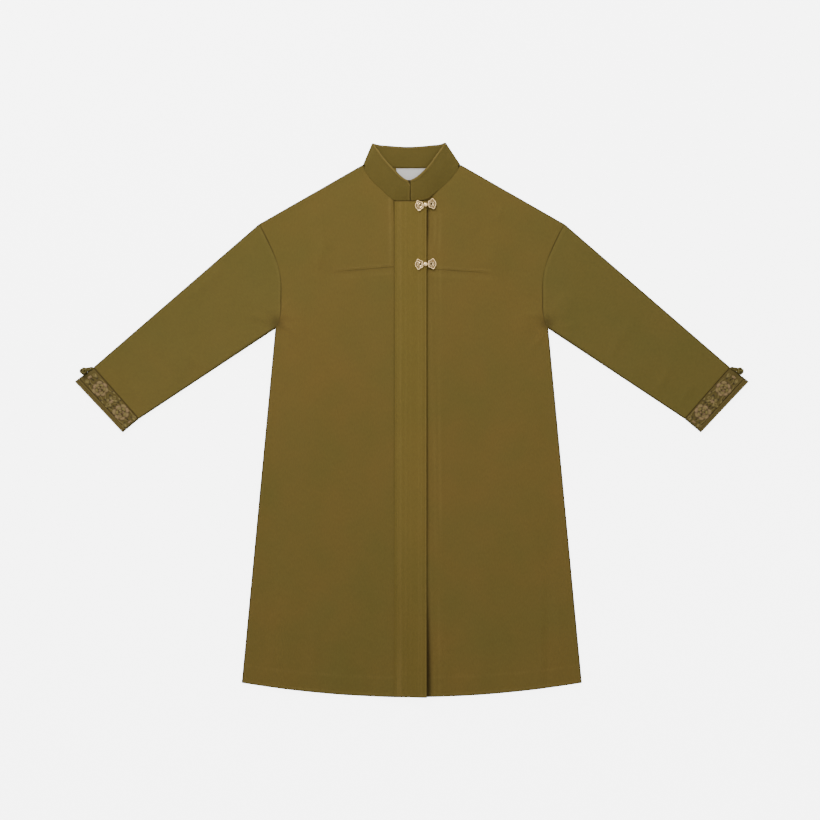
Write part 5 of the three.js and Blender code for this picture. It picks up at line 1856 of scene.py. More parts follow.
@dataclass
class StandCollar:
    """Stand collar: one strip from the front slit round the neck and back to the slit."""

    band: FrontBand
    bulge: float = 1.4
    step: float = 2.2
    fold_radius_gap: float = 0.4
    about_tall: float = 50.0
    # Row of stitches, as a distance from the top edge
    stitch_line: float = 5.4
    sheet: Sheet = Sheet(0.47, 0.062, 0.01865, ("front_right_cloth", "front_left_cloth"))

    def seam_height(self, hand: Hand, x: float, y: float) -> float:
        """Height of the middle of the cloth that the collar's lower edge meets."""
        at_x, at_y = np.array([x]), np.array([y])
        front = LAID.lie(hand, at_x, at_y)[0][0, 2] - SIZES.cloth / 2
        edge = np.array([min(x, SIZES.band_right)])
        band = self.band.under(edge, np.array([SIZES.band_top]))[0] + SIZES.band_cloth / 2
        return float(mix(band, front, smooth_step(SIZES.band_right - 4, SIZES.band_right + 30, abs(x))))

    def rows(self) -> Array:
        """Seam point and top point of each row of the tables, as six numbers."""
        half = SIZES.collar_cloth / 2

        def front(hand: Hand, table: Array) -> list[tuple[float, ...]]:
            """Rows of one half, from the slit to the side fold."""
            return [
                (sx, sy, self.seam_height(hand, sx, sy), tx, ty, tz) for sx, sy, tx, ty, tz, _ in table
            ]

        def fold(hand: Hand) -> list[tuple[float, ...]]:
            """Rows round a side fold, on a half circle from the front to the back."""
            sx, sy, tx, ty = COLLAR_FOLDS[hand]
            radius = half + self.fold_radius_gap
            rows = []
            for angle in range(0, 181, 30):
                turn = math.radians(angle)
                inset = hand.value * (radius * (1 - math.sin(turn)) + half)
                height = half + radius * (1 + math.cos(turn))
                rows.append((sx - inset, sy, height, tx - inset, ty, height))
            return rows

        back = [(sx, float(back_neck_y(sx)), half, tx, ty, half) for sx, tx, ty in COLLAR_BACK]
        return np.array(
            front(Hand.RIGHT, COLLAR_RIGHT) + fold(Hand.RIGHT) + back
            + fold(Hand.LEFT)[::-1] + front(Hand.LEFT, COLLAR_LEFT)[::-1]
        )

    def wall(self) -> tuple[Wall, Array, Array]:
        """The collar's wall, with distances from its lower seam and from the nearer end."""
        rows = self.rows()
        middle = (rows[:, :3] + rows[:, 3:]) / 2
        place = np.concatenate([[0.0], np.cumsum(np.linalg.norm(np.diff(middle, axis=0), axis=1))])
        at = []
        for index in range(len(place) - 1):
            length = place[index + 1] - place[index]
            ends = (index == 0, index == len(place) - 2)
            spots = stations(length, min(self.step, max(length / 3, 0.4)), *ends)
            at.append(place[index] + spots[:-1])
        at = np.concatenate(at + [place[-1:]])
        dense = smooth_through(place, rows, at)
        seam, top = dense[:, :3], dense[:, 3:]
        share = stations(self.about_tall, 2.0, True, True)[None, :, None] / self.about_tall
        points = seam[:, None] + (top - seam)[:, None] * share
        points[..., 2] += self.bulge * np.sin(math.pi * share[..., 0]) * smooth_step(6, 10, points[..., 2])
        along = np.gradient(points, axis=0)
        up = np.gradient(points, axis=1)
        normal = unit(np.cross(along, up))
        half = SIZES.collar_cloth / 2
        points[..., 2] = np.maximum(points[..., 2], half)
        tall = walked(points, 1)
        uv = np.stack([at[:, None] * np.ones(tall.shape), tall], axis=-1)
        wall = Wall(points - normal * half, points + normal * half, uv)
        ends = np.minimum(at - at[0], at[-1] - at)[:, None] * np.ones(tall.shape)
        return wall, tall, ends

    def relief(self, top: Array, tall: Array, ends: Array, along: Array) -> Array:
        """Height of the rolled edges, the stitched groove, the fold over the seam and slow waves.

        Args:
            top: distances from the top edge.
            tall: distances from the lower seam.
            ends: distances from the nearer end at the slit.
            along: distances round the collar.

        Returns:
            The height over the plain cloth.
        """
        height = 0.5 * bell(top, 1.7, 2.4) - 0.34 * bell(top, 0.8, self.stitch_line)
        height += 0.3 * bell(ends, 1.4, 2.2) - 0.2 * bell(ends, 0.8, 4.6)
        height += 0.28 * bell(tall, 2.6, 9.0) * (0.6 + 0.4 * uneven(along, 55.0))
        height += 0.22 * uneven(along, 47.0, 0.9) * np.sin(math.pi * np.clip(tall / 45.0, 0, 1))
        return height

    def mark(self, wall: Wall, top: Array, tall: Array, ends: Array) -> None:
        """Sets the wall's masks: seams, painted shade inside the back and in the slit, a painted shadow in
        the turned corner, painted shade along the outline, and painted highlights on the ridges and the
        turned corner's edge.

        Args:
            wall: the collar's wall.
            top: distances from the top edge.
            tall: distances from the lower seam.
            ends: distances from the nearer end at the slit.
        """
        along = wall.uv[..., 0]
        at_band = 1 - smooth_step(30.0, 46.0, np.abs(wall.outer[..., 0]))
        # Painted shade on the low part inside the neck at the back.
        at_back = smooth_step(6.0, 4.0, wall.outer[..., 2])
        depth = np.maximum(mix(worn_seam(along, 0.08, 0.26, 48.0, 0.8), 0.75, at_band), 0.85 * at_back)
        # Painted shadow in the turned corner beside the slit, and painted shade in the slit itself.
        corner = top + 0.9 * (along - along[0])
        wall.seam = np.maximum.reduce([
            seam_mask(tall, 0.9, depth), 0.2 * bell(top, 0.8, self.stitch_line),
            seam_mask(ends, 0.9, 0.62), 0.95 * smooth_step(9.5, 7.5, corner),
        ])
        # Painted shade where the collar's face turns away from the light, and along its top edge at the back.
        flank = np.linalg.norm(unit(wall.outer - wall.inner)[..., :2], axis=-1)
        outline = np.maximum(at_back * (1 - smooth_step(0.5, 2.6, top)), smooth_step(0.6, 0.95, flank))
        wall.rim = np.maximum(0.7 * (1 - smooth_step(0.0, 0.6, np.minimum(top, ends))), outline)
        # Painted highlights on the rolled top edge, the ends and the turned corner's edge.
        worn = np.clip(0.8 * bell(top, 1.7, 1.9) + 0.3 * bell(ends, 1.3, 2.0), 0, 0.85)
        wall.worn = np.maximum(worn, 0.9 * bell(corner, 1.2, 11.6))

    def make(self) -> None:
        """Builds the collar, its rolled edge and its stitching, which the underside goes without."""
        wall, tall, ends = self.wall()
        top = tall[:, -1:] - tall
        self.mark(wall, top, tall, ends)
        clear = smooth_step(3.0, 6.0, wall.outer[..., 2])
        wall.raise_outer(self.relief(top, tall, ends, wall.uv[..., 0]) * clear)
        half = SIZES.collar_cloth / 2
        wall.press(np.minimum(top, ends), 0.97, half)
        wall.press(tall, 0.35, half)
        cut = Cut()
        cut.add_wall(wall)
        column = int(np.argmin(np.abs(top[len(top) // 3] - self.stitch_line)))
        count = len(wall.outer)
        rows = []
        for part in (slice(10, int(count * 0.32)), slice(int(count * 0.68), count - 10)):
            over = unit(wall.outer - wall.inner)[part, column]
            rows.append((wall.outer[part, column] - over * 0.05, over))
        thread = sewn("collar_stitches", rows, 3.0)
        put("collar_cloth", cut, COLLAR, ("collar",))


@dataclass
class Sleeve:
    """Dropped sleeve: a flattened tube from the armhole to the cuff seam."""

    hand: Hand
    start_gap: float = 0.05
    step: float = 5.0
    about_long: float = 430.0
    sheet: Sheet = Sheet(0.424, 0.438, 0.1302)

    def sections(self) -> Array:
        """Shares of the way from the armhole to the cuff at which a ring is drawn."""
        return stations(self.about_long, self.step, True, True) / self.about_long

    def make(self) -> None:
        """Builds the sleeve with its upper and lower face on the laid cloth's rule."""
        s = SIZES
        upper_start = self.moved(s.shoulder, s.cuff_seam_high)
        lower_start = self.moved(s.underarm, s.cuff_seam_low)
        share = self.sections()[:, None]
        upper = mix(upper_start, np.array(s.cuff_seam_high), share)
        lower = mix(lower_start, np.array(s.cuff_seam_low), share)
        bulge = 1 - share

        def hole(at: Array) -> Array:
            """How far the armhole's curve lies out from its chord."""
            y = mix(s.shoulder[1], s.underarm[1], at)
            curve = smooth_through(ARMHOLE[:, 1], ARMHOLE[:, 0], y.ravel()).reshape(y.shape)
            return curve - mix(s.shoulder[0], s.underarm[0], at)

        wall, length = flat_tube(self.hand, upper, lower, s.cloth, self.step, lambda at: hole(at) * bulge**2)
        angle = math.degrees(math.atan2(
            (s.cuff_seam_high[1] + s.cuff_seam_low[1] - s.shoulder[1] - s.underarm[1]) / 2,
            self.hand.value * (s.cuff_seam_high[0] + s.cuff_seam_low[0] - s.shoulder[0] - s.underarm[0]) / 2,
        ))
        wall.uv = plan_uv(wall.outer, angle)
        far = length[-1:] - length
        x, y = wall.outer[..., 0], wall.outer[..., 1]
        depth = LAID.armhole_depth(y)
        # The seam mask darkens the armhole and cuff seams, the cuff seam also as painted shade where the cuff
        # stands higher, and paints the shade under the arm.
        wall.seam = np.maximum.reduce([
            seam_mask(length, 1.0, depth), seam_mask(far, 1.1, 0.8), LAID.underarm_shade(x, y),
        ])
        # Painted shade on the folded edges.
        wall.rim = LAID.rim(x, y)
        ridge = 0.3 * bell(length, 1.6, 3.4) * (0.7 + 0.3 * uneven(y, 60.0, 0.5))
        ridge += 0.13 * uneven(y, 22.0, 1.2) * uneven(y, 57.0, 0.1) * np.exp(-np.minimum(length, far) / 6)
        # Painted highlight on the ridges beside the seams.
        wall.worn = np.clip(ridge, 0, 0.35)
        wall.raise_outer(ridge * smooth_step(2.4, 3.4, wall.outer[..., 2]))
        wall.press(length, 0.7 * depth, s.cloth / 2)
        wall.press(far, 0.6, s.cloth / 2)
        cut = Cut()
        cut.add_wall(wall)
        word = self.hand.word
        put(f"sleeve_{word}_cloth", cut, SLEEVE, (f"sleeve_{word}",))

    def moved(self, start: Point, end: Point) -> Array:
        """The start moved towards the end by the gap at the armhole."""
        run = np.subtract(end, start)
        return np.array(start) + run / np.linalg.norm(run) * self.start_gap


def flat_tube(
    hand: Hand, upper: Array, lower: Array, cloth: float, step: float,
    bulge: Callable[[Array], Array] | None = None,
) -> tuple[Wall, Array]:
    """A flattened tube between an upper and a lower folded edge.

    Each ring runs over the upper face from the upper fold to the lower one, and back
    under it.

    Args:
        hand: side of the coat.
        upper: point of the upper fold for each ring.
        lower: point of the lower fold for each ring.
        cloth: thickness of the cloth.
        step: distance between columns.
        bulge: how far a place moves out, from its share of the way down.

    Returns:
        The wall and each point's distance from the first ring.
    """
    length = np.linalg.norm(lower - upper, axis=1)
    steps = LAID.fold_steps(cloth)
    first = steps[None, :] / length[:, None]
    count = max(4, int(np.mean(length) / step))
    rest = np.linspace(0, 1, count)[None, 1:-1]
    middle = first[:, -1:] + (1 - 2 * first[:, -1:]) * rest
    shares = np.concatenate([first, middle, 1 - first[:, ::-1]], axis=1)
    plan = upper[:, None] + (lower - upper)[:, None] * shares[..., None]
    x = plan[..., 0] + (bulge(shares) if bulge else 0.0)
    x, y = hand.value * x, plan[..., 1]
    over_out, over_in = LAID.lie(hand, x, y, Layer.FRONT, cloth)
    under_out, under_in = LAID.lie(hand, x, y, Layer.BACK, cloth)
    radius = cloth + SIZES.fold_gap / 2
    for face in (over_out, over_in):
        face[:, 0, 2] = radius
        face[:, -1, 2] = radius
    outer = np.concatenate([over_out, under_out[:, -2:0:-1]], axis=1)
    inner = np.concatenate([over_in, under_in[:, -2:0:-1]], axis=1)
    wall = Wall(outer, inner, plan_uv(outer), ring=True)
    middle_line = outer[:, :, :2]
    return wall, walked(middle_line, 0)


@dataclass
class Petal:
    """A satin-stitched petal or leaf on the cuff, in millimetres along and across the cuff.

    Half its width is the sine of pi times the share along to a power: under 1 its tip is
    blunt, over 1 it is pointed. Its height is a dome across, eased at both ends.
    """

    base: Point
    angle: float
    length: float
    width: float
    tone: float
    blunt: float = 0.6
    skew: float = 0.8
    bend: float = 0.0
    dome: float = 0.75
    slant: float = 35.0
    lift: float = 0.0

    def shade(self, shape: tuple[int, int]) -> Array:
        """Painted shade on the petal's grid where neighbouring petals meet: its two long edges, its base and
        its tip.
        """
        along = np.linspace(0.0, 1.0, shape[0])[:, None]
        across = np.abs(np.linspace(-1.0, 1.0, shape[1]))[None, :]
        ends = np.maximum(1 - smooth_step(0.1, 0.62, along), smooth_step(0.94, 1.0, along))
        return np.maximum(0.95 * smooth_step(0.58, 1.0, across), 0.92 * ends)

    def plan(self) -> tuple[Array, Array, Array, Array]:
        """Places along and across the cuff, height, and grain map of the petal's grid."""
        u, v = np.meshgrid(np.linspace(0.0, 1.0, 15), np.linspace(-1.0, 1.0, 9), indexing="ij")
        half = self.width / 2 * np.sin(math.pi * np.clip(u, 0.004, 0.996) ** self.skew) ** self.blunt
        x = self.length * u
        y = half * v + self.bend * u * (u - 0.2)
        rise = 0.35 + 0.65 * np.sin(math.pi * np.clip(u, 0.02, 0.98)) ** 0.5
        height = self.lift + self.dome * (1 - v**2) ** 0.5 * rise
        turn = math.radians(self.angle)
        a = self.base[0] + x * math.cos(turn) - y * math.sin(turn)
        b = self.base[1] + x * math.sin(turn) + y * math.cos(turn)
        lean = math.radians(self.slant)
        grain = np.stack([
            np.abs(y) * math.cos(lean) + x * math.sin(lean), x * math.cos(lean) - np.abs(y) * math.sin(lean)
        ], axis=-1)
        return a, b, height, grain


@dataclass
class Cuff:
    """Banded cuff with its embroidery, plain edge strip, knot button and loop."""

    hand: Hand
    step: float = 2.4
    knot: tuple[float, float, float] = (655.0, 97.8, 12.1)
    knot_radius: float = 6.3
    knot_cord: float = 1.75
    loop_start: tuple[float, float, float] = (651.6, 99.6, 8.2)
    loop_end: tuple[float, float, float] = (635.8, 104.4, 8.6)
    band_sheet: Sheet = Sheet(0.282, 0.0356, 0.0097)
    edge_sheet: Sheet = Sheet(0.282, 0.011, 0.00297)
    # Row of stitches on the edge strip, as a distance from its seam
    stitch_line: float = 5.4
    # How far the embroidered band reaches out from the cuff's seam
    band_depth: float = 35.4
    # Blossoms: centre down and across the cuff, size, and turn in degrees
    blossoms: tuple[tuple[float, float, float, float], ...] = (
        (43.0, 18.2, 1.06, 8.0), (105.5, 17.8, 1.10, 31.0),
    )
    # Rings of a blossom: petals, inner radius, length, width, tone, dome and lift
    rings: tuple[tuple[float, ...], ...] = (
        (7, 5.2, 9.8, 12.4, 0.8, 0.6, 0.0), (5, 2.6, 7.4, 9.6, 0.15, 0.6, 0.55),
        (3, 0.5, 4.9, 6.4, 1.0, 0.7, 1.05),
    )
    # Leaves: base down and across the cuff, angle, length, width and bend
    leaves: tuple[tuple[float, ...], ...] = (
        (63.0, 11.0, 22.0, 16.0, 7.0, 3.0), (63.5, 26.0, -28.0, 15.0, 6.6, -2.6),
        (88.0, 27.5, 196.0, 13.0, 6.0, 2.0), (88.5, 8.5, 163.0, 13.5, 6.2, -2.4),
        (24.5, 10.5, 205.0, 12.5, 6.0, -2.2), (24.5, 26.0, 158.0, 13.5, 6.4, 2.4),
        (124.0, 9.5, -16.0, 12.5, 5.8, 2.0), (124.5, 26.0, 20.0, 11.8, 5.6, -2.0),
        (60.0, 32.0, 4.0, 11.0, 4.6, 1.0), (84.0, 32.2, 176.0, 9.0, 4.2, -1.0),
        (60.0, 4.0, -4.0, 10.0, 4.4, -1.0), (88.0, 3.4, 184.0, 9.5, 4.2, 1.0),
    )
    # Small buds: tip shared by three petals, angle of the middle one, length and width
    buds: tuple[tuple[float, ...], ...] = (
        (71.0, 18.4, 0.0, 9.4, 5.6), (17.0, 18.6, 180.0, 8.4, 5.0), (127.5, 17.6, 0.0, 6.4, 4.6),
    )
    # Dark accents: base down and across the cuff, and angle
    accents: tuple[tuple[float, float, float], ...] = (
        (68.0, 14.2, 12.0), (84.0, 21.5, -14.0), (23.0, 16.5, 170.0), (97.0, 32.0, 150.0),
        (52.0, 33.0, 20.0), (66.0, 22.5, -8.0), (90.0, 14.0, 178.0), (122.0, 18.0, 0.0),
    )
    # Curls: centre down and across the cuff, start turn and way round
    curls: tuple[tuple[float, float, float, int], ...] = (
        (77.5, 26.6, 0.4, 1), (74.5, 9.4, 3.4, 1), (14.5, 28.0, 1.8, -1), (14.0, 9.0, 4.4, 1),
        (130.5, 31.4, 0.0, -1), (130.0, 5.0, 2.2, 1),
    )

    def depth(self) -> float:
        """Length of the cuff from its seam to its opening, along the upper fold."""
        return math.dist(SIZES.cuff_seam_high, SIZES.cuff_end_high)

    def part(self, start: float, end: float) -> tuple[Wall, Array]:
        """A tube of the cuff between two distances from its seam.

        Args:
            start: first distance.
            end: last distance.

        Returns:
            The wall and each point's distance from the part's first ring.
        """
        at = (start + stations(end - start, 1.8, True, True))[:, None] / self.depth()
        s = SIZES
        upper = mix(np.array(s.cuff_seam_high), np.array(s.cuff_end_high), at)
        lower = mix(np.array(s.cuff_seam_low), np.array(s.cuff_end_low), at)
        wall, length = flat_tube(self.hand, upper, lower, s.cuff_cloth, self.step)
        run = np.subtract(s.cuff_end_high, s.cuff_seam_high)
        angle = self.hand.value * math.degrees(math.atan2(run[1], run[0]))
        wall.uv = plan_uv(wall.outer, angle)
        return wall, length

    def make(self) -> None:
        """Builds every part of the cuff."""
        self.make_band()
        self.make_edge()
        self.make_knot()
        self.make_loop()

    def make_band(self) -> None:
        """Builds the embroidered band."""
        end = self.depth() - SIZES.cuff_edge_width + SIZES.closed_seam_lap / 2
        wall, length = self.part(0.12, end)
        far = length[-1:] - length
        x, y = wall.outer[..., 0], wall.outer[..., 1]
        upper = wall.outer[..., 2] > SIZES.cuff_cloth + 1.0
        relief = 0.3 * bell(far, 1.3, 2.6) + 0.22 * bell(length, 1.2, 2.6)
        relief += 0.14 * uneven(x - y, 19.0, 0.7) * uneven(y, 47.0)
        wall.raise_outer(np.where(upper, relief, 0.0))
        # The seam lines at both ends of the band also stand for painted shade where the band meets the sleeve
        # and the edge strip.
        wall.seam = np.maximum(seam_mask(length, 1.2, 0.8), seam_mask(far, 0.9, 0.8))
        # Painted shade on the folded edges, and a painted highlight on the ridges.
        wall.rim = LAID.rim(x, y)
        wall.worn = np.clip(relief * 0.6, 0, 0.3)
        wall.press(np.minimum(length, far), 0.6, SIZES.cuff_cloth / 2)
        cut = Cut()
        cut.add_wall(wall)
        word = self.hand.word
        flowers = self.embroidery()
        put(
            f"cuff_band_{word}_cloth", cut, CUFF, (f"cuff_band_{word}",),
        )

    def make_edge(self) -> None:
        """Builds the plain strip at the opening, with a row of stitches along its middle."""
        start = self.depth() - SIZES.cuff_edge_width - SIZES.closed_seam_lap / 2
        wall, length = self.part(start, self.depth())
        far = length[-1:] - length
        x, y = wall.outer[..., 0], wall.outer[..., 1]
        upper = wall.outer[..., 2] > SIZES.cuff_cloth + 1.0
        relief = 0.34 * bell(length, 1.2, 2.4) + 0.36 * bell(far, 1.3, 2.2)
        relief -= 0.2 * bell(length, 0.9, self.stitch_line)
        wall.raise_outer(np.where(upper, relief, 0.0))
        # The seam line also stands for painted shade where the strip meets the band.
        wall.seam = np.maximum(seam_mask(length, 0.9, 0.9), 0.4 * bell(length, 0.8, self.stitch_line))
        # Painted shade on the folded edges and the opening's edge, and a painted highlight on the edge
        # ridges.
        wall.rim = np.maximum(LAID.rim(x, y), 1 - smooth_step(0.4, 1.6, far))
        wall.worn = 0.6 * bell(far, 1.2, 1.8) + 0.3 * bell(length, 1.0, 2.2)
        wall.press(length, 0.6, SIZES.cuff_cloth / 2)
        wall.press(far, 0.95, SIZES.cuff_cloth / 2)
        cut = Cut()
        cut.add_wall(wall)
        ring = int(np.argmin(np.abs(length[:, 20] - self.stitch_line)))
        count = wall.outer.shape[1] // 2
        path = wall.outer[ring, 9:count - 8]
        word = self.hand.word
        thread = sewn(f"cuff_edge_{word}_stitches", [(path, UP)], 2.8)
        put(
            f"cuff_edge_{word}_cloth", cut, CUFF, (f"cuff_edge_{word}",),
        )

    def surface(self, a: Array, b: Array, height: Array | float) -> Array:
        """Points over the cuff's upper face.

        Args:
            a: distances down the cuff from its upper fold, along the seam.
            b: distances from the seam towards the opening.
            height: height over the cloth.

        Returns:
            The points, on this hand's side.
        """
        s = SIZES
        down = unit(np.subtract(s.cuff_seam_low, s.cuff_seam_high))
        out = unit(np.subtract(s.cuff_end_high, s.cuff_seam_high))
        plan = np.array(s.cuff_seam_high) + a[..., None] * down + b[..., None] * out
        x, y = self.hand.value * plan[..., 0], plan[..., 1]
        outer, _ = LAID.lie(self.hand, x, y, Layer.FRONT, s.cuff_cloth)
        return outer + UP * np.broadcast_to(height, a.shape)[..., None]

    def inside(self, b: Array, room: float) -> Array:
        """Distances from the seam, kept within the band by some room on both sides."""
        return np.clip(b, room, self.band_depth - room)

    def pattern(self) -> list[Petal]:
        """The petals and leaves: two open blossoms, a bud between and leaf sprays."""
        petals: list[Petal] = []
        for a, b, size, turn in self.blossoms:
            for ring, (count, inner, length, width, tone, dome, lift) in enumerate(self.rings):
                for index in range(count):
                    wobble = 5.0 * math.sin(5.1 * index + 2.0 * ring + turn)
                    angle = turn + ring * 21.0 + index * 360.0 / count + wobble
                    way = math.radians(angle)
                    scale = size * (1 + 0.07 * math.sin(3.7 * index + ring))
                    base = (a + inner * scale * math.cos(way), b + inner * scale * math.sin(way))
                    shade = tone + 0.25 * math.sin(2.9 * index + ring)
                    petals.append(Petal(
                        base, angle, length * scale, width * scale, shade, 0.55, 1.25,
                        dome=dome, lift=lift + 0.22 * (index % 2),
                    ))
        for a, b, angle, length, width, bend in self.leaves:
            petals.append(Petal((a, b), angle, length, width, 0.1, 0.9, 0.9, bend, 0.7, 48.0))
        for a, b, angle, length, width in self.buds:
            for turn, tone, lift in ((-26.0, 0.9, 0.0), (26.0, 0.7, 0.2), (0.0, 1.0, 0.4)):
                petals.append(Petal((a, b), angle + turn, length, width, tone, 0.6, 1.2, dome=0.8, lift=lift))
        for a, b, angle in self.accents:
            petals.append(Petal((a, b), angle, 5.6, 2.4, 2.0, 0.9, 1.0, dome=0.55))
        return petals

    def stems(self) -> list[Array]:
        """Centre lines of the stems and tendrils, along and across the cuff."""
        t = np.linspace(0, 1, 40)
        waves = (
            (14.0, 134.0, 18.0, 8.0, 2.6, 0.3), (24.0, 64.0, 30.2, 3.0, 1.0, 0.0),
            (84.0, 126.0, 30.4, 2.6, 1.0, 3.1), (26.0, 62.0, 5.8, 2.4, 1.0, 3.1),
            (88.0, 126.0, 4.8, 2.2, 1.0, 0.0),
        )
        lines = [
            np.stack([mix(a0, a1, t), mid + swing * np.sin(math.pi * turns * t * 2 + phase) * 0.8], axis=-1)
            for a0, a1, mid, swing, turns, phase in waves
        ]
        for a, b, turn, way in self.curls:
            angle = turn + way * t * 3.4 * math.pi
            radius = 3.8 * (1 - 0.74 * t)
            lines.append(np.stack([a + radius * np.cos(angle), b + radius * np.sin(angle)], axis=-1))
        return lines

    def embroidery(self) -> bpy.types.Object:
        """Builds the flowers, leaves, stems and knots as raised thread on the cuff.

        Returns:
            The embroidery's object.
        """
        cut = Cut()
        for petal in self.pattern():
            a, b, height, grain = petal.plan()
            b = self.inside(b, 1.4)
            outer = self.surface(a, b, height + 0.12)
            inner = self.surface(a, b, -0.35)
            wall = Wall(outer, inner, grain)
            # Painted shade along each petal's edges and base.
            wall.rim = petal.shade(a.shape)
            cut.add_wall(wall, tone=petal.tone)
        for line in self.stems():
            path = self.surface(line[:, 0], self.inside(line[:, 1], 1.6), 0.25)
            points, faces, uv = tube(path, 0.62, 0.5, UP, 8)
            cut.add(points, faces, uv, tone=0.15)
        for a, b, size, turn in self.blossoms:
            t = np.linspace(0, 2 * math.pi, 120, endpoint=False)
            radius = 14.6 * size * (1 + 0.05 * np.cos(8 * (t - math.radians(turn))))
            line = self.surface(a + radius * np.cos(t), self.inside(b + radius * np.sin(t), 1.5), 0.15)
            points, faces, uv = tube(line, 0.55, 0.4, UP, 7, closed=True)
            cut.add(points, faces, uv, tone=1.7)
            angle = np.append(np.arange(6) * math.tau / 6, 0.0)
            ring = np.append(np.full(6, 1.7), 0.0)
            for spot in self.surface(a + ring * np.cos(angle), b + ring * np.sin(angle), 1.7):
                points, faces, uv = ball(spot, np.array([0.8, 0.8, 0.6]), 6, 9)
                cut.add(points, faces, uv, tone=0.0)
        return put(f"cuff_embroidery_{self.hand.word}", cut, EMBROIDERY)

    def make_knot(self) -> None:
        """Builds the button: a cord braided round a ball in three leads and four bights.

        The cord's angle round the ball is three turns of t, its height the cosine of four
        turns of t, and it weaves over and under itself with the sine of eight.
        """
        t = np.linspace(0, 2 * math.pi, 260, endpoint=False)
        tilt = 0.98 * np.cos(4 * t)
        around = 3 * t + 0.4
        flat = np.cos(tilt)
        radial = np.stack([flat * np.cos(around), np.sin(tilt), flat * np.sin(around)], axis=-1)
        centre = np.array([self.hand.value * self.knot[0], self.knot[1], self.knot[2]])
        lean = math.radians(-self.hand.value * 38.0)
        cosine, sine = math.cos(lean), math.sin(lean)
        turn = np.array([[cosine, -sine, 0], [sine, cosine, 0], [0, 0, 1.0]])
        radial = radial @ turn.T
        path = centre + radial * (self.knot_radius - 0.5 + 0.75 * np.sin(8 * t))[:, None]
        cut = Cut()
        points, faces, uv = tube(path, self.knot_cord * 1.12, self.knot_cord * 0.86, radial, 10, closed=True)
        # Painted shade: the cord is lighter where it rides over and darker where it dips under.
        spread = 0.35 + 0.55 * (0.5 + 0.5 * np.sin(8 * t))[:, None] * np.ones((1, 10))
        cut.add(points, faces, uv, tone=spread)
        # A dark core ball, which stands for the shade inside the knot between the cords.
        points, faces, uv = ball(centre, np.full(3, self.knot_radius - 1.1), 10, 16)
        cut.add(points, faces, uv, tone=2.0)
        word = self.hand.word
        put(f"cuff_knot_{word}_cord", cut, KNOT_CORD, (f"cuff_knot_{word}",))

    def make_loop(self) -> None:
        """Builds the loop: two cords side by side from the knot to the cuff seam, and a binding."""
        start, end = np.array(self.loop_start), np.array(self.loop_end)
        t = np.linspace(0, 1, 26)[:, None]
        run = unit((end - start)[None, :2])[0]
        across = np.array([-run[1], run[0], 0.0])
        mirror = np.array([self.hand.value, 1.0, 1.0])
        cut = Cut()
        for side in (-1, 1):
            spread = side * 1.95 * (1 - 0.5 * t)
            path = start + (end - start) * t + across * spread
            path[:, 2] += 0.5 * np.sin(math.pi * t[:, 0])
            ends = np.clip(4 * np.sin(math.pi * np.clip(t[:, 0], 0.03, 0.97)), 0.5, 1)
            radius = 2.6 * (1 - 0.42 * t[:, 0]) * ends
            points, faces, uv = tube(path * mirror, radius, 0.9 * radius, UP, 10)
            faces = [part[:, ::-1] for part in faces] if self.hand is Hand.RIGHT else faces
            cut.add(points, faces, uv, tone=0.55)
        turn = np.linspace(0, 2 * math.pi, 22, endpoint=False)
        for share in (0.74, 0.8):
            spot = start + (end - start) * share + np.array([0, 0, 0.2])
            ring = spot + across * (3.1 * np.cos(turn))[:, None] + UP * (1.9 * np.sin(turn))[:, None]
            way = np.append(run, 0.0)
            points, faces, uv = tube(ring * mirror, 0.4, 0.4, way * mirror, 6, closed=True)
            cut.add(points, faces, uv, tone=0.2)
        word = self.hand.word
        put(f"cuff_loop_{word}_cord", cut, KNOT_CORD, (f"cuff_loop_{word}",))


@dataclass
class NeckLabel:
    """Bare woven label sewn under the back neck seam."""

    left: float = -31.0
    right: float = 28.0
    top: float = 502.8
    bottom: float = 464.0
    thickness: float = 1.0
    sheet: Sheet = Sheet(0.059, 0.0388, 0.00229, ("back_cloth",))

    def make(self) -> None:
        """Builds the label, slightly wavy, with a stitched border and no lettering."""
        across = self.left + stations(self.right - self.left, 1.6, True, True)
        up = self.bottom + stations(self.top - self.bottom, 1.6, True, True)
        x, y = np.meshgrid(across, up)
        loose = 0.25 * (1 + uneven(x, 44.0, 0.4)) * smooth_step(self.top, self.bottom - 6, y)
        low = SIZES.cloth + SIZES.seam + loose
        upper_face = np.stack([x, y, low + self.thickness], axis=-1)
        wall = Wall(upper_face, np.stack([x, y, low], axis=-1), plan_uv(upper_face))
        gap = np.minimum.reduce([x - self.left, self.right - x, y - self.bottom, self.top - y])
        wall.rim = 1 - smooth_step(0.4, 1.4, gap)
        wall.raise_outer(0.16 * bell(gap, 0.8, 2.6))
        wall.press(gap, 0.95, self.thickness / 2)
        cut = Cut()
        cut.add_wall(wall)
        inset = 1.3
        rows = []
        for x0, y0, x1, y1 in (
            (self.left + inset, self.top - inset, self.right - inset, self.top - inset),
            (self.left + inset, self.bottom + inset, self.left + inset, self.top - inset),
            (self.right - inset, self.bottom + inset, self.right - inset, self.top - inset),
        ):
            t = np.linspace(0, 1, 40)
            top = SIZES.cloth + SIZES.seam + self.thickness + 0.2
            rows.append((np.stack([mix(x0, x1, t), mix(y0, y1, t), np.full(40, top)], axis=-1), UP))
        thread = sewn("label_stitches", rows, 2.4)
        put("neck_label_ribbon", cut, LabelFinish(), ("neck_label",))


# Clasps: name, place of the ball, and turn in degrees
CLASPS = (("upper", 27.6, 429.6, 8.5), ("lower", 27.6, 311.2, 2.5))


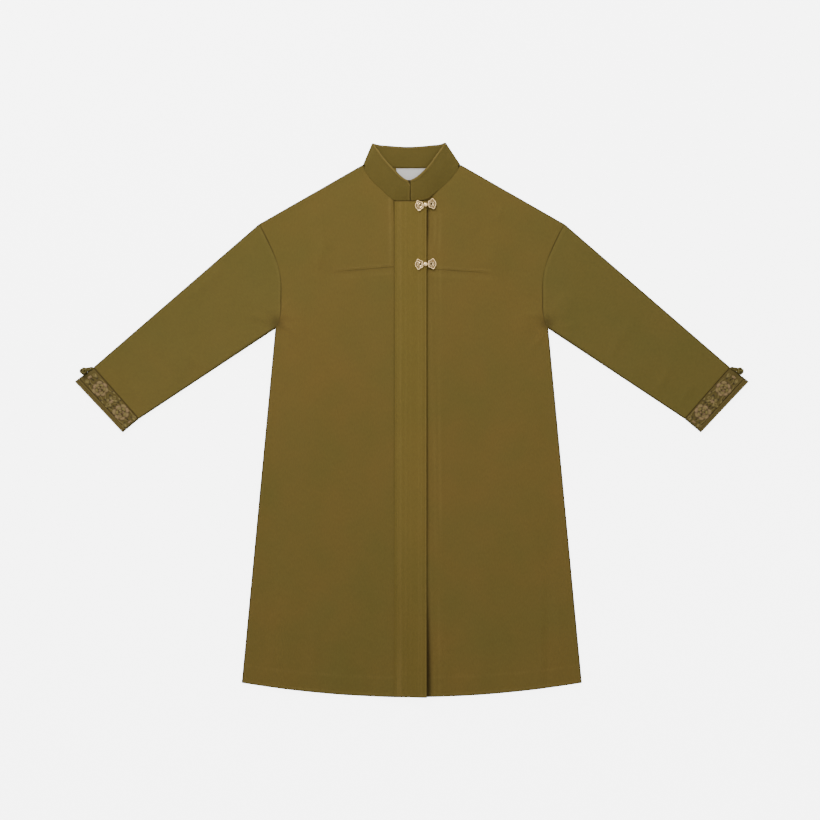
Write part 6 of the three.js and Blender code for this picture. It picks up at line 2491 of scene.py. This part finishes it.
@dataclass
class BowClasp:
    """Metal bow clasp: two openwork fans that meet at a ball."""

    name: str
    x: float
    y: float
    turn: float
    band: FrontBand
    metal: MetalFinish
    plate: float = 2.2
    centre: float = 12.9
    base_radius: float = 8.5
    squeeze: float = 0.94
    # Middle hole: its centre, half width and half height
    hole: tuple[float, float, float] = (10.9, 2.1, 2.7)
    slot_radii: tuple[float, float] = (5.1, 7.7)
    slot_span: tuple[float, float] = (7.0, 56.0)
    neck_end: float = 4.9
    bevel: float = 0.4
    # Heights of the wires and of the beads, and radius of the curved wires
    wire_z: float = 2.05
    bead_z: float = 2.1
    arc_radius: float = 5.6
    # Beads on each side: angle, distance from the centre and radius
    beads: tuple[tuple[float, float, float], ...] = (
        (76.0, 9.9, 1.25), (142.0, 8.3, 0.95), (27.0, 8.6, 0.85),
    )
    # Half width and half height of the ball
    ball_size: Point = (4.5, 2.7)
    # Lobes of the outline: angle, reach and spread
    lobes: tuple[tuple[float, float, float], ...] = ((0.0, 0.4, 0.55), (76.0, 2.9, 0.3), (142.0, 1.3, 0.3))

    def outline(self, angle: Array) -> Array:
        """Distance of the fan's edge from its centre: a base radius and a bell for each lobe."""
        radius = np.full(angle.shape, self.base_radius)
        for at, reach, spread in self.lobes:
            off = np.abs(np.abs(angle) - math.radians(at))
            radius = radius + reach * bell(off, spread)
        inner = smooth_step(math.radians(150), math.radians(172), np.abs(angle))
        neck = (self.centre - self.neck_end) / self.squeeze
        return mix(radius, neck, inner)

    def fan(self) -> tuple[Wall, Array]:
        """The openwork plate of one half, in its own plane.

        Rows run from the middle hole out to the edge, columns once round. Cells inside the
        two slots are left out.

        Returns:
            The wall and each point's distance from a hole or the edge.
        """
        low, high = (math.radians(angle) for angle in self.slot_span)
        marks = (-math.pi, -high, -low, low, high, math.pi)
        angle = np.concatenate([
            np.linspace(start, end, count, endpoint=False)
            for start, end, count in zip(marks[:-1], marks[1:], (30, 12, 4, 12, 30))
        ])
        middle = np.abs(angle + np.diff(np.append(angle, math.pi)) / 2)
        beside_slot = (np.abs(angle) > low - 0.01) & (np.abs(angle) < high + 0.01)
        ring = np.stack([np.cos(angle), np.sin(angle)], axis=-1)
        squeeze = np.array([self.squeeze, 1.0])
        hole_x, half_wide, half_tall = self.hole
        curves = (
            ring * (half_wide, half_tall) + (hole_x - self.centre, 0.0),
            ring * self.slot_radii[0] * squeeze,
            ring * self.slot_radii[1] * squeeze,
            ring * self.outline(angle)[:, None] * squeeze,
        )
        bevel = np.array([0.0, 0.15, self.bevel])
        far = 9.0
        rows, gaps, zones = [], [], []
        for zone, (inside, outside) in enumerate(zip(curves[:-1], curves[1:])):
            length = float(np.mean(np.linalg.norm(outside - inside, axis=-1)))
            from_inside = np.unique(np.concatenate([bevel, [length / 2], length - bevel]))
            for spot in from_inside if zone == 2 else from_inside[:-1]:
                to_hole = spot if zone == 0 else far
                to_edge = length - spot if zone == 2 else far
                to_slot = (length - spot, spot if spot == 0 else far, spot)[zone]
                rows.append(mix(inside, outside, spot / length))
                gaps.append(np.minimum(min(to_hole, to_edge), np.where(beside_slot, to_slot, far)))
                zones.append(zone)
        plan = np.array(rows)
        in_slot = (middle > low) & (middle < high)
        cells = ~((np.array(zones)[:-1, None] == 1) & in_slot[None, :])
        x = self.centre + plan[..., 0]
        outer = np.stack([x, plan[..., 1], np.full(x.shape, self.plate)], axis=-1)
        inner = outer * (1.0, 1.0, 0.0)
        return Wall(outer, inner, outer[..., :2], cells=cells, ring=True), np.array(gaps)

    def placed(self, points: Array, tilt: float, slope: float, origin: Array) -> Array:
        """Points of the clasp turned about Y by a slope, then about Z by a tilt, and moved."""
        cs, sn = math.cos(slope), math.sin(slope)
        ct, st = math.cos(tilt), math.sin(tilt)
        about_y = np.array([[cs, 0, sn], [0, 1, 0], [-sn, 0, cs]])
        about_z = np.array([[ct, -st, 0], [st, ct, 0], [0, 0, 1.0]])
        return points @ (about_z @ about_y).T + origin

    def plate_shape(self) -> tuple[Shape, Array]:
        """The dished plate, and its mask of painted shade in the recesses: none at its edges, full between
        them.
        """
        wall, gap = self.fan()
        rim = self.bevel
        drop = rim - np.sqrt(np.maximum(rim**2 - (rim - np.minimum(gap, rim)) ** 2, 0))
        dish = np.clip(gap / 1.2, 0, 1)
        wall.outer[..., 2] -= drop + 0.9 * dish
        points = np.concatenate([wall.outer.reshape(-1, 3), wall.inner.reshape(-1, 3)])
        uv = np.concatenate([wall.uv.reshape(-1, 2)] * 2)
        recess_shade = np.concatenate([smooth_step(0.2, 0.7, dish).ravel(), np.ones(gap.size)])
        return (points, [outward(points, wall.faces())], uv), recess_shade

    def wires(self) -> list[Shape]:
        """The raised wires round the plate's edge and round its middle hole."""
        turn = np.linspace(-math.pi, math.pi, 120, endpoint=False)
        edge = self.outline(turn) - 0.8
        hole_x, half_wide, half_tall = self.hole
        rim_x, rim_y = half_wide + 0.7, half_tall + 0.7
        loops = (
            (self.centre + edge * np.cos(turn) * self.squeeze, edge * np.sin(turn), 0.8, 0.65),
            (hole_x + rim_x * np.cos(turn), rim_y * np.sin(turn), 0.75, 0.75),
        )
        return [
            tube(np.stack([x, y, np.full(x.shape, self.wire_z)], axis=-1), wide, high, UP, 8, closed=True)
            for x, y, wide, high in loops
        ]

    def side_trim(self, side: int) -> list[Shape]:
        """The curved wire and the beads over one slot, +1 or -1 from the clasp's middle line."""
        arc = side * np.linspace(math.radians(58), math.radians(122), 24)
        path = np.stack([
            self.centre + self.arc_radius * np.cos(arc) * self.squeeze,
            self.arc_radius * np.sin(arc), np.full(arc.shape, self.wire_z),
        ], axis=-1)
        shapes = [tube(path, 0.5, 0.5, UP, 8)]
        for at, far, size in self.beads:
            angle = side * math.radians(at)
            across = self.centre + far * math.cos(angle) * self.squeeze
            spot = np.array([across, far * math.sin(angle), self.bead_z])
            shapes.append(ball(spot, np.array([size, size, size * 0.8]), 8, 14))
        return shapes

    def ball_shapes(self) -> list[Shape]:
        """The ball that the two halves meet at, and the neck that carries it."""
        wide, high = self.ball_size
        centre = np.array([0.0, 0.0, high])
        path = np.stack([np.linspace(1.5, 6.4, 12), np.zeros(12), np.full(12, 1.3)], axis=-1)
        return [ball(centre, np.array([wide, wide, high]), 18, 32), tube(path, 1.9, 1.2, UP, 12)]

    def half(self, with_ball: bool, tilt: float, slope: float, origin: Array) -> None:
        """Builds one half: plate, raised wire round its edge and holes, beads and ball.

        Args:
            with_ball: whether it carries the ball.
            tilt: turn about Z.
            slope: turn about Y.
            origin: centre of the ball on the band.
        """
        plate, recess_shade = self.plate_shape()
        spot = np.array([self.centre + 8.0 * self.squeeze, 0.0, self.bead_z])
        raised = [
            *self.wires(), *self.side_trim(-1), *self.side_trim(1),
            ball(spot, np.array([1.0, 1.2, 0.8]), 8, 14),
        ]
        # Painted shade for each shape: the plate's recesses, a little on the ball's neck, none on the raised
        # parts.
        shapes = [(plate, recess_shade)] + [(shape, 0.0) for shape in raised]
        if with_ball:
            shapes += list(zip(self.ball_shapes(), (0.0, 0.2)))
        cut = Cut()
        for (points, faces, uv), dark in shapes:
            cut.add(self.placed(points.reshape(-1, 3), tilt, slope, origin), faces, uv, seam=dark)
        word = "ball" if with_ball else "loop"
        put(
            f"clasp_{self.name}_{word}_metal", cut, self.metal,
            (f"clasp_{self.name}_{word}_half",), sharp=40.0,
        )

    def make(self) -> None:
        """Builds both halves, the ball half flat on the band, the other sloping to the front."""
        tilt = math.radians(self.turn)
        edge = np.array([SIZES.band_right])
        on_band = float(self.band.under(edge, np.array([self.y]))[0]) + SIZES.band_cloth + SIZES.seam
        origin = np.array([self.x, self.y, on_band])
        reach = self.centre + self.base_radius
        front = LAID.lie(Hand.LEFT, np.array([self.x + reach]), np.array([self.y]))[0][0, 2] + SIZES.seam
        slope = math.asin((on_band - front) / reach)
        self.half(True, tilt + math.pi, 0.0, origin)
        self.half(False, tilt, slope, origin)


@dataclass(frozen=True)
class Studio:
    """Pale floor, soft lights and the camera straight above."""

    centre: Point = (-0.0036, 0.020)
    view: float = 1.64
    height: float = 4.5
    sight: float = 50.0
    floor_side: float = 12.0
    floor_tone: Colour = (0.90, 0.90, 0.895)
    floor_glow: float = 5.6
    floor_drop: float = 0.0003
    room_light: float = 0.36
    room_mirrored: float = 0.95
    room_seen: float = 6.6
    # Lights: name, place and side in metres, and power in watts
    lights: tuple[tuple[str, tuple[float, float, float], float, float], ...] = (
        ("key", (-1.1, 2.1, 1.8), 0.9, 60.0), ("fill", (2.0, 0.9, 2.4), 2.2, 11.0),
        ("top", (0.1, 0.5, 3.9), 3.2, 35.0),
    )

    def make(self) -> None:
        """Builds the floor, the world, the lights and the camera."""
        self.make_floor()
        self.make_world()
        for light in self.lights:
            self.make_light(*light)
        self.make_camera()

    def make_camera(self) -> None:
        """Adds the camera, straight above the coat's middle."""
        data = bpy.data.cameras.new("camera")
        data.sensor_width = 36.0
        data.lens = data.sensor_width * self.height / self.view
        data.clip_end = self.sight
        camera = bpy.data.objects.new("camera", data)
        camera.location = (*self.centre, self.height)
        bpy.context.scene.collection.objects.link(camera)
        bpy.context.scene.camera = camera

    def make_floor(self) -> None:
        """Builds the floor: a large pale plane, bright to the eye as a lit sweep is."""
        mesh = bpy.data.meshes.new("floor")
        side, low = self.floor_side, -self.floor_drop
        corners = [(-side, -side, low), (side, -side, low), (side, side, low), (-side, side, low)]
        mesh.from_pydata(corners, [], [(0, 1, 2, 3)])
        material, graph, shader = new_material("floor_paper")
        tone = graph.math("MULTIPLY_ADD", graph.noise(graph.place(), 6.0), 0.02, 0.99)
        colour = graph.mix_colour(1.0, opaque(self.floor_tone), tone, "MULTIPLY")
        graph.join(colour, shader.inputs["Base Color"])
        seen = graph.add("ShaderNodeLightPath").outputs["Is Camera Ray"]
        glow = graph.math("MULTIPLY", seen, self.floor_glow)
        shader.inputs["Emission Color"].default_value = (1.0, 1.0, 1.0, 1.0)
        graph.join(glow, shader.inputs["Emission Strength"])
        shader.inputs["Roughness"].default_value = 0.9
        mesh.materials.append(material)
        floor = bpy.data.objects.new("floor", mesh)
        bpy.context.scene.collection.objects.link(floor)

    def make_world(self) -> None:
        """Gives the room an even pale light, brighter where gloss mirrors it."""
        world = bpy.data.worlds.new("room")
        world.use_nodes = True
        graph = NodeGraph(world.node_tree)
        back = world.node_tree.nodes["Background"]
        back.inputs["Color"].default_value = (0.97, 0.985, 1.0, 1.0)
        rays = graph.add("ShaderNodeLightPath").outputs
        mirrored = graph.math(
            "MULTIPLY_ADD", rays["Is Glossy Ray"], self.room_mirrored - self.room_light, self.room_light
        )
        seen = self.room_seen - self.room_light
        strength = graph.math("MULTIPLY_ADD", rays["Is Camera Ray"], seen, mirrored)
        graph.join(strength, back.inputs["Strength"])
        bpy.context.scene.world = world

    def make_light(self, name: str, place: tuple[float, float, float], size: float, power: float) -> None:
        """Adds a soft square light that faces the coat.

        Args:
            name: the light's name.
            place: where it hangs, in metres.
            size: its side.
            power: its power in watts.
        """
        data = bpy.data.lights.new(name, "AREA")
        data.size, data.energy = size, power
        light = bpy.data.objects.new(name, data)
        light.location = place
        aim = Vector((0.0, 0.0, 0.0)) - Vector(place)
        light.rotation_euler = aim.to_track_quat("-Z", "Y").to_euler()
        light.visible_camera = False
        bpy.context.scene.collection.objects.link(light)


def main() -> None:
    """Builds the coat piece by piece, then the studio."""
    logging.basicConfig(level=logging.INFO, format="%(name)s %(message)s")
    CoatBody().make()
    band = FrontBand()
    band.make()
    StandCollar(band).make()
    for hand in Hand:
        Sleeve(hand).make()
        Cuff(hand).make()
    NeckLabel().make()
    metal = MetalFinish()
    for clasp in CLASPS:
        BowClasp(*clasp, band, metal).make()
    Studio().make()


if __name__ == "__main__":
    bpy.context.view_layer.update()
    main()
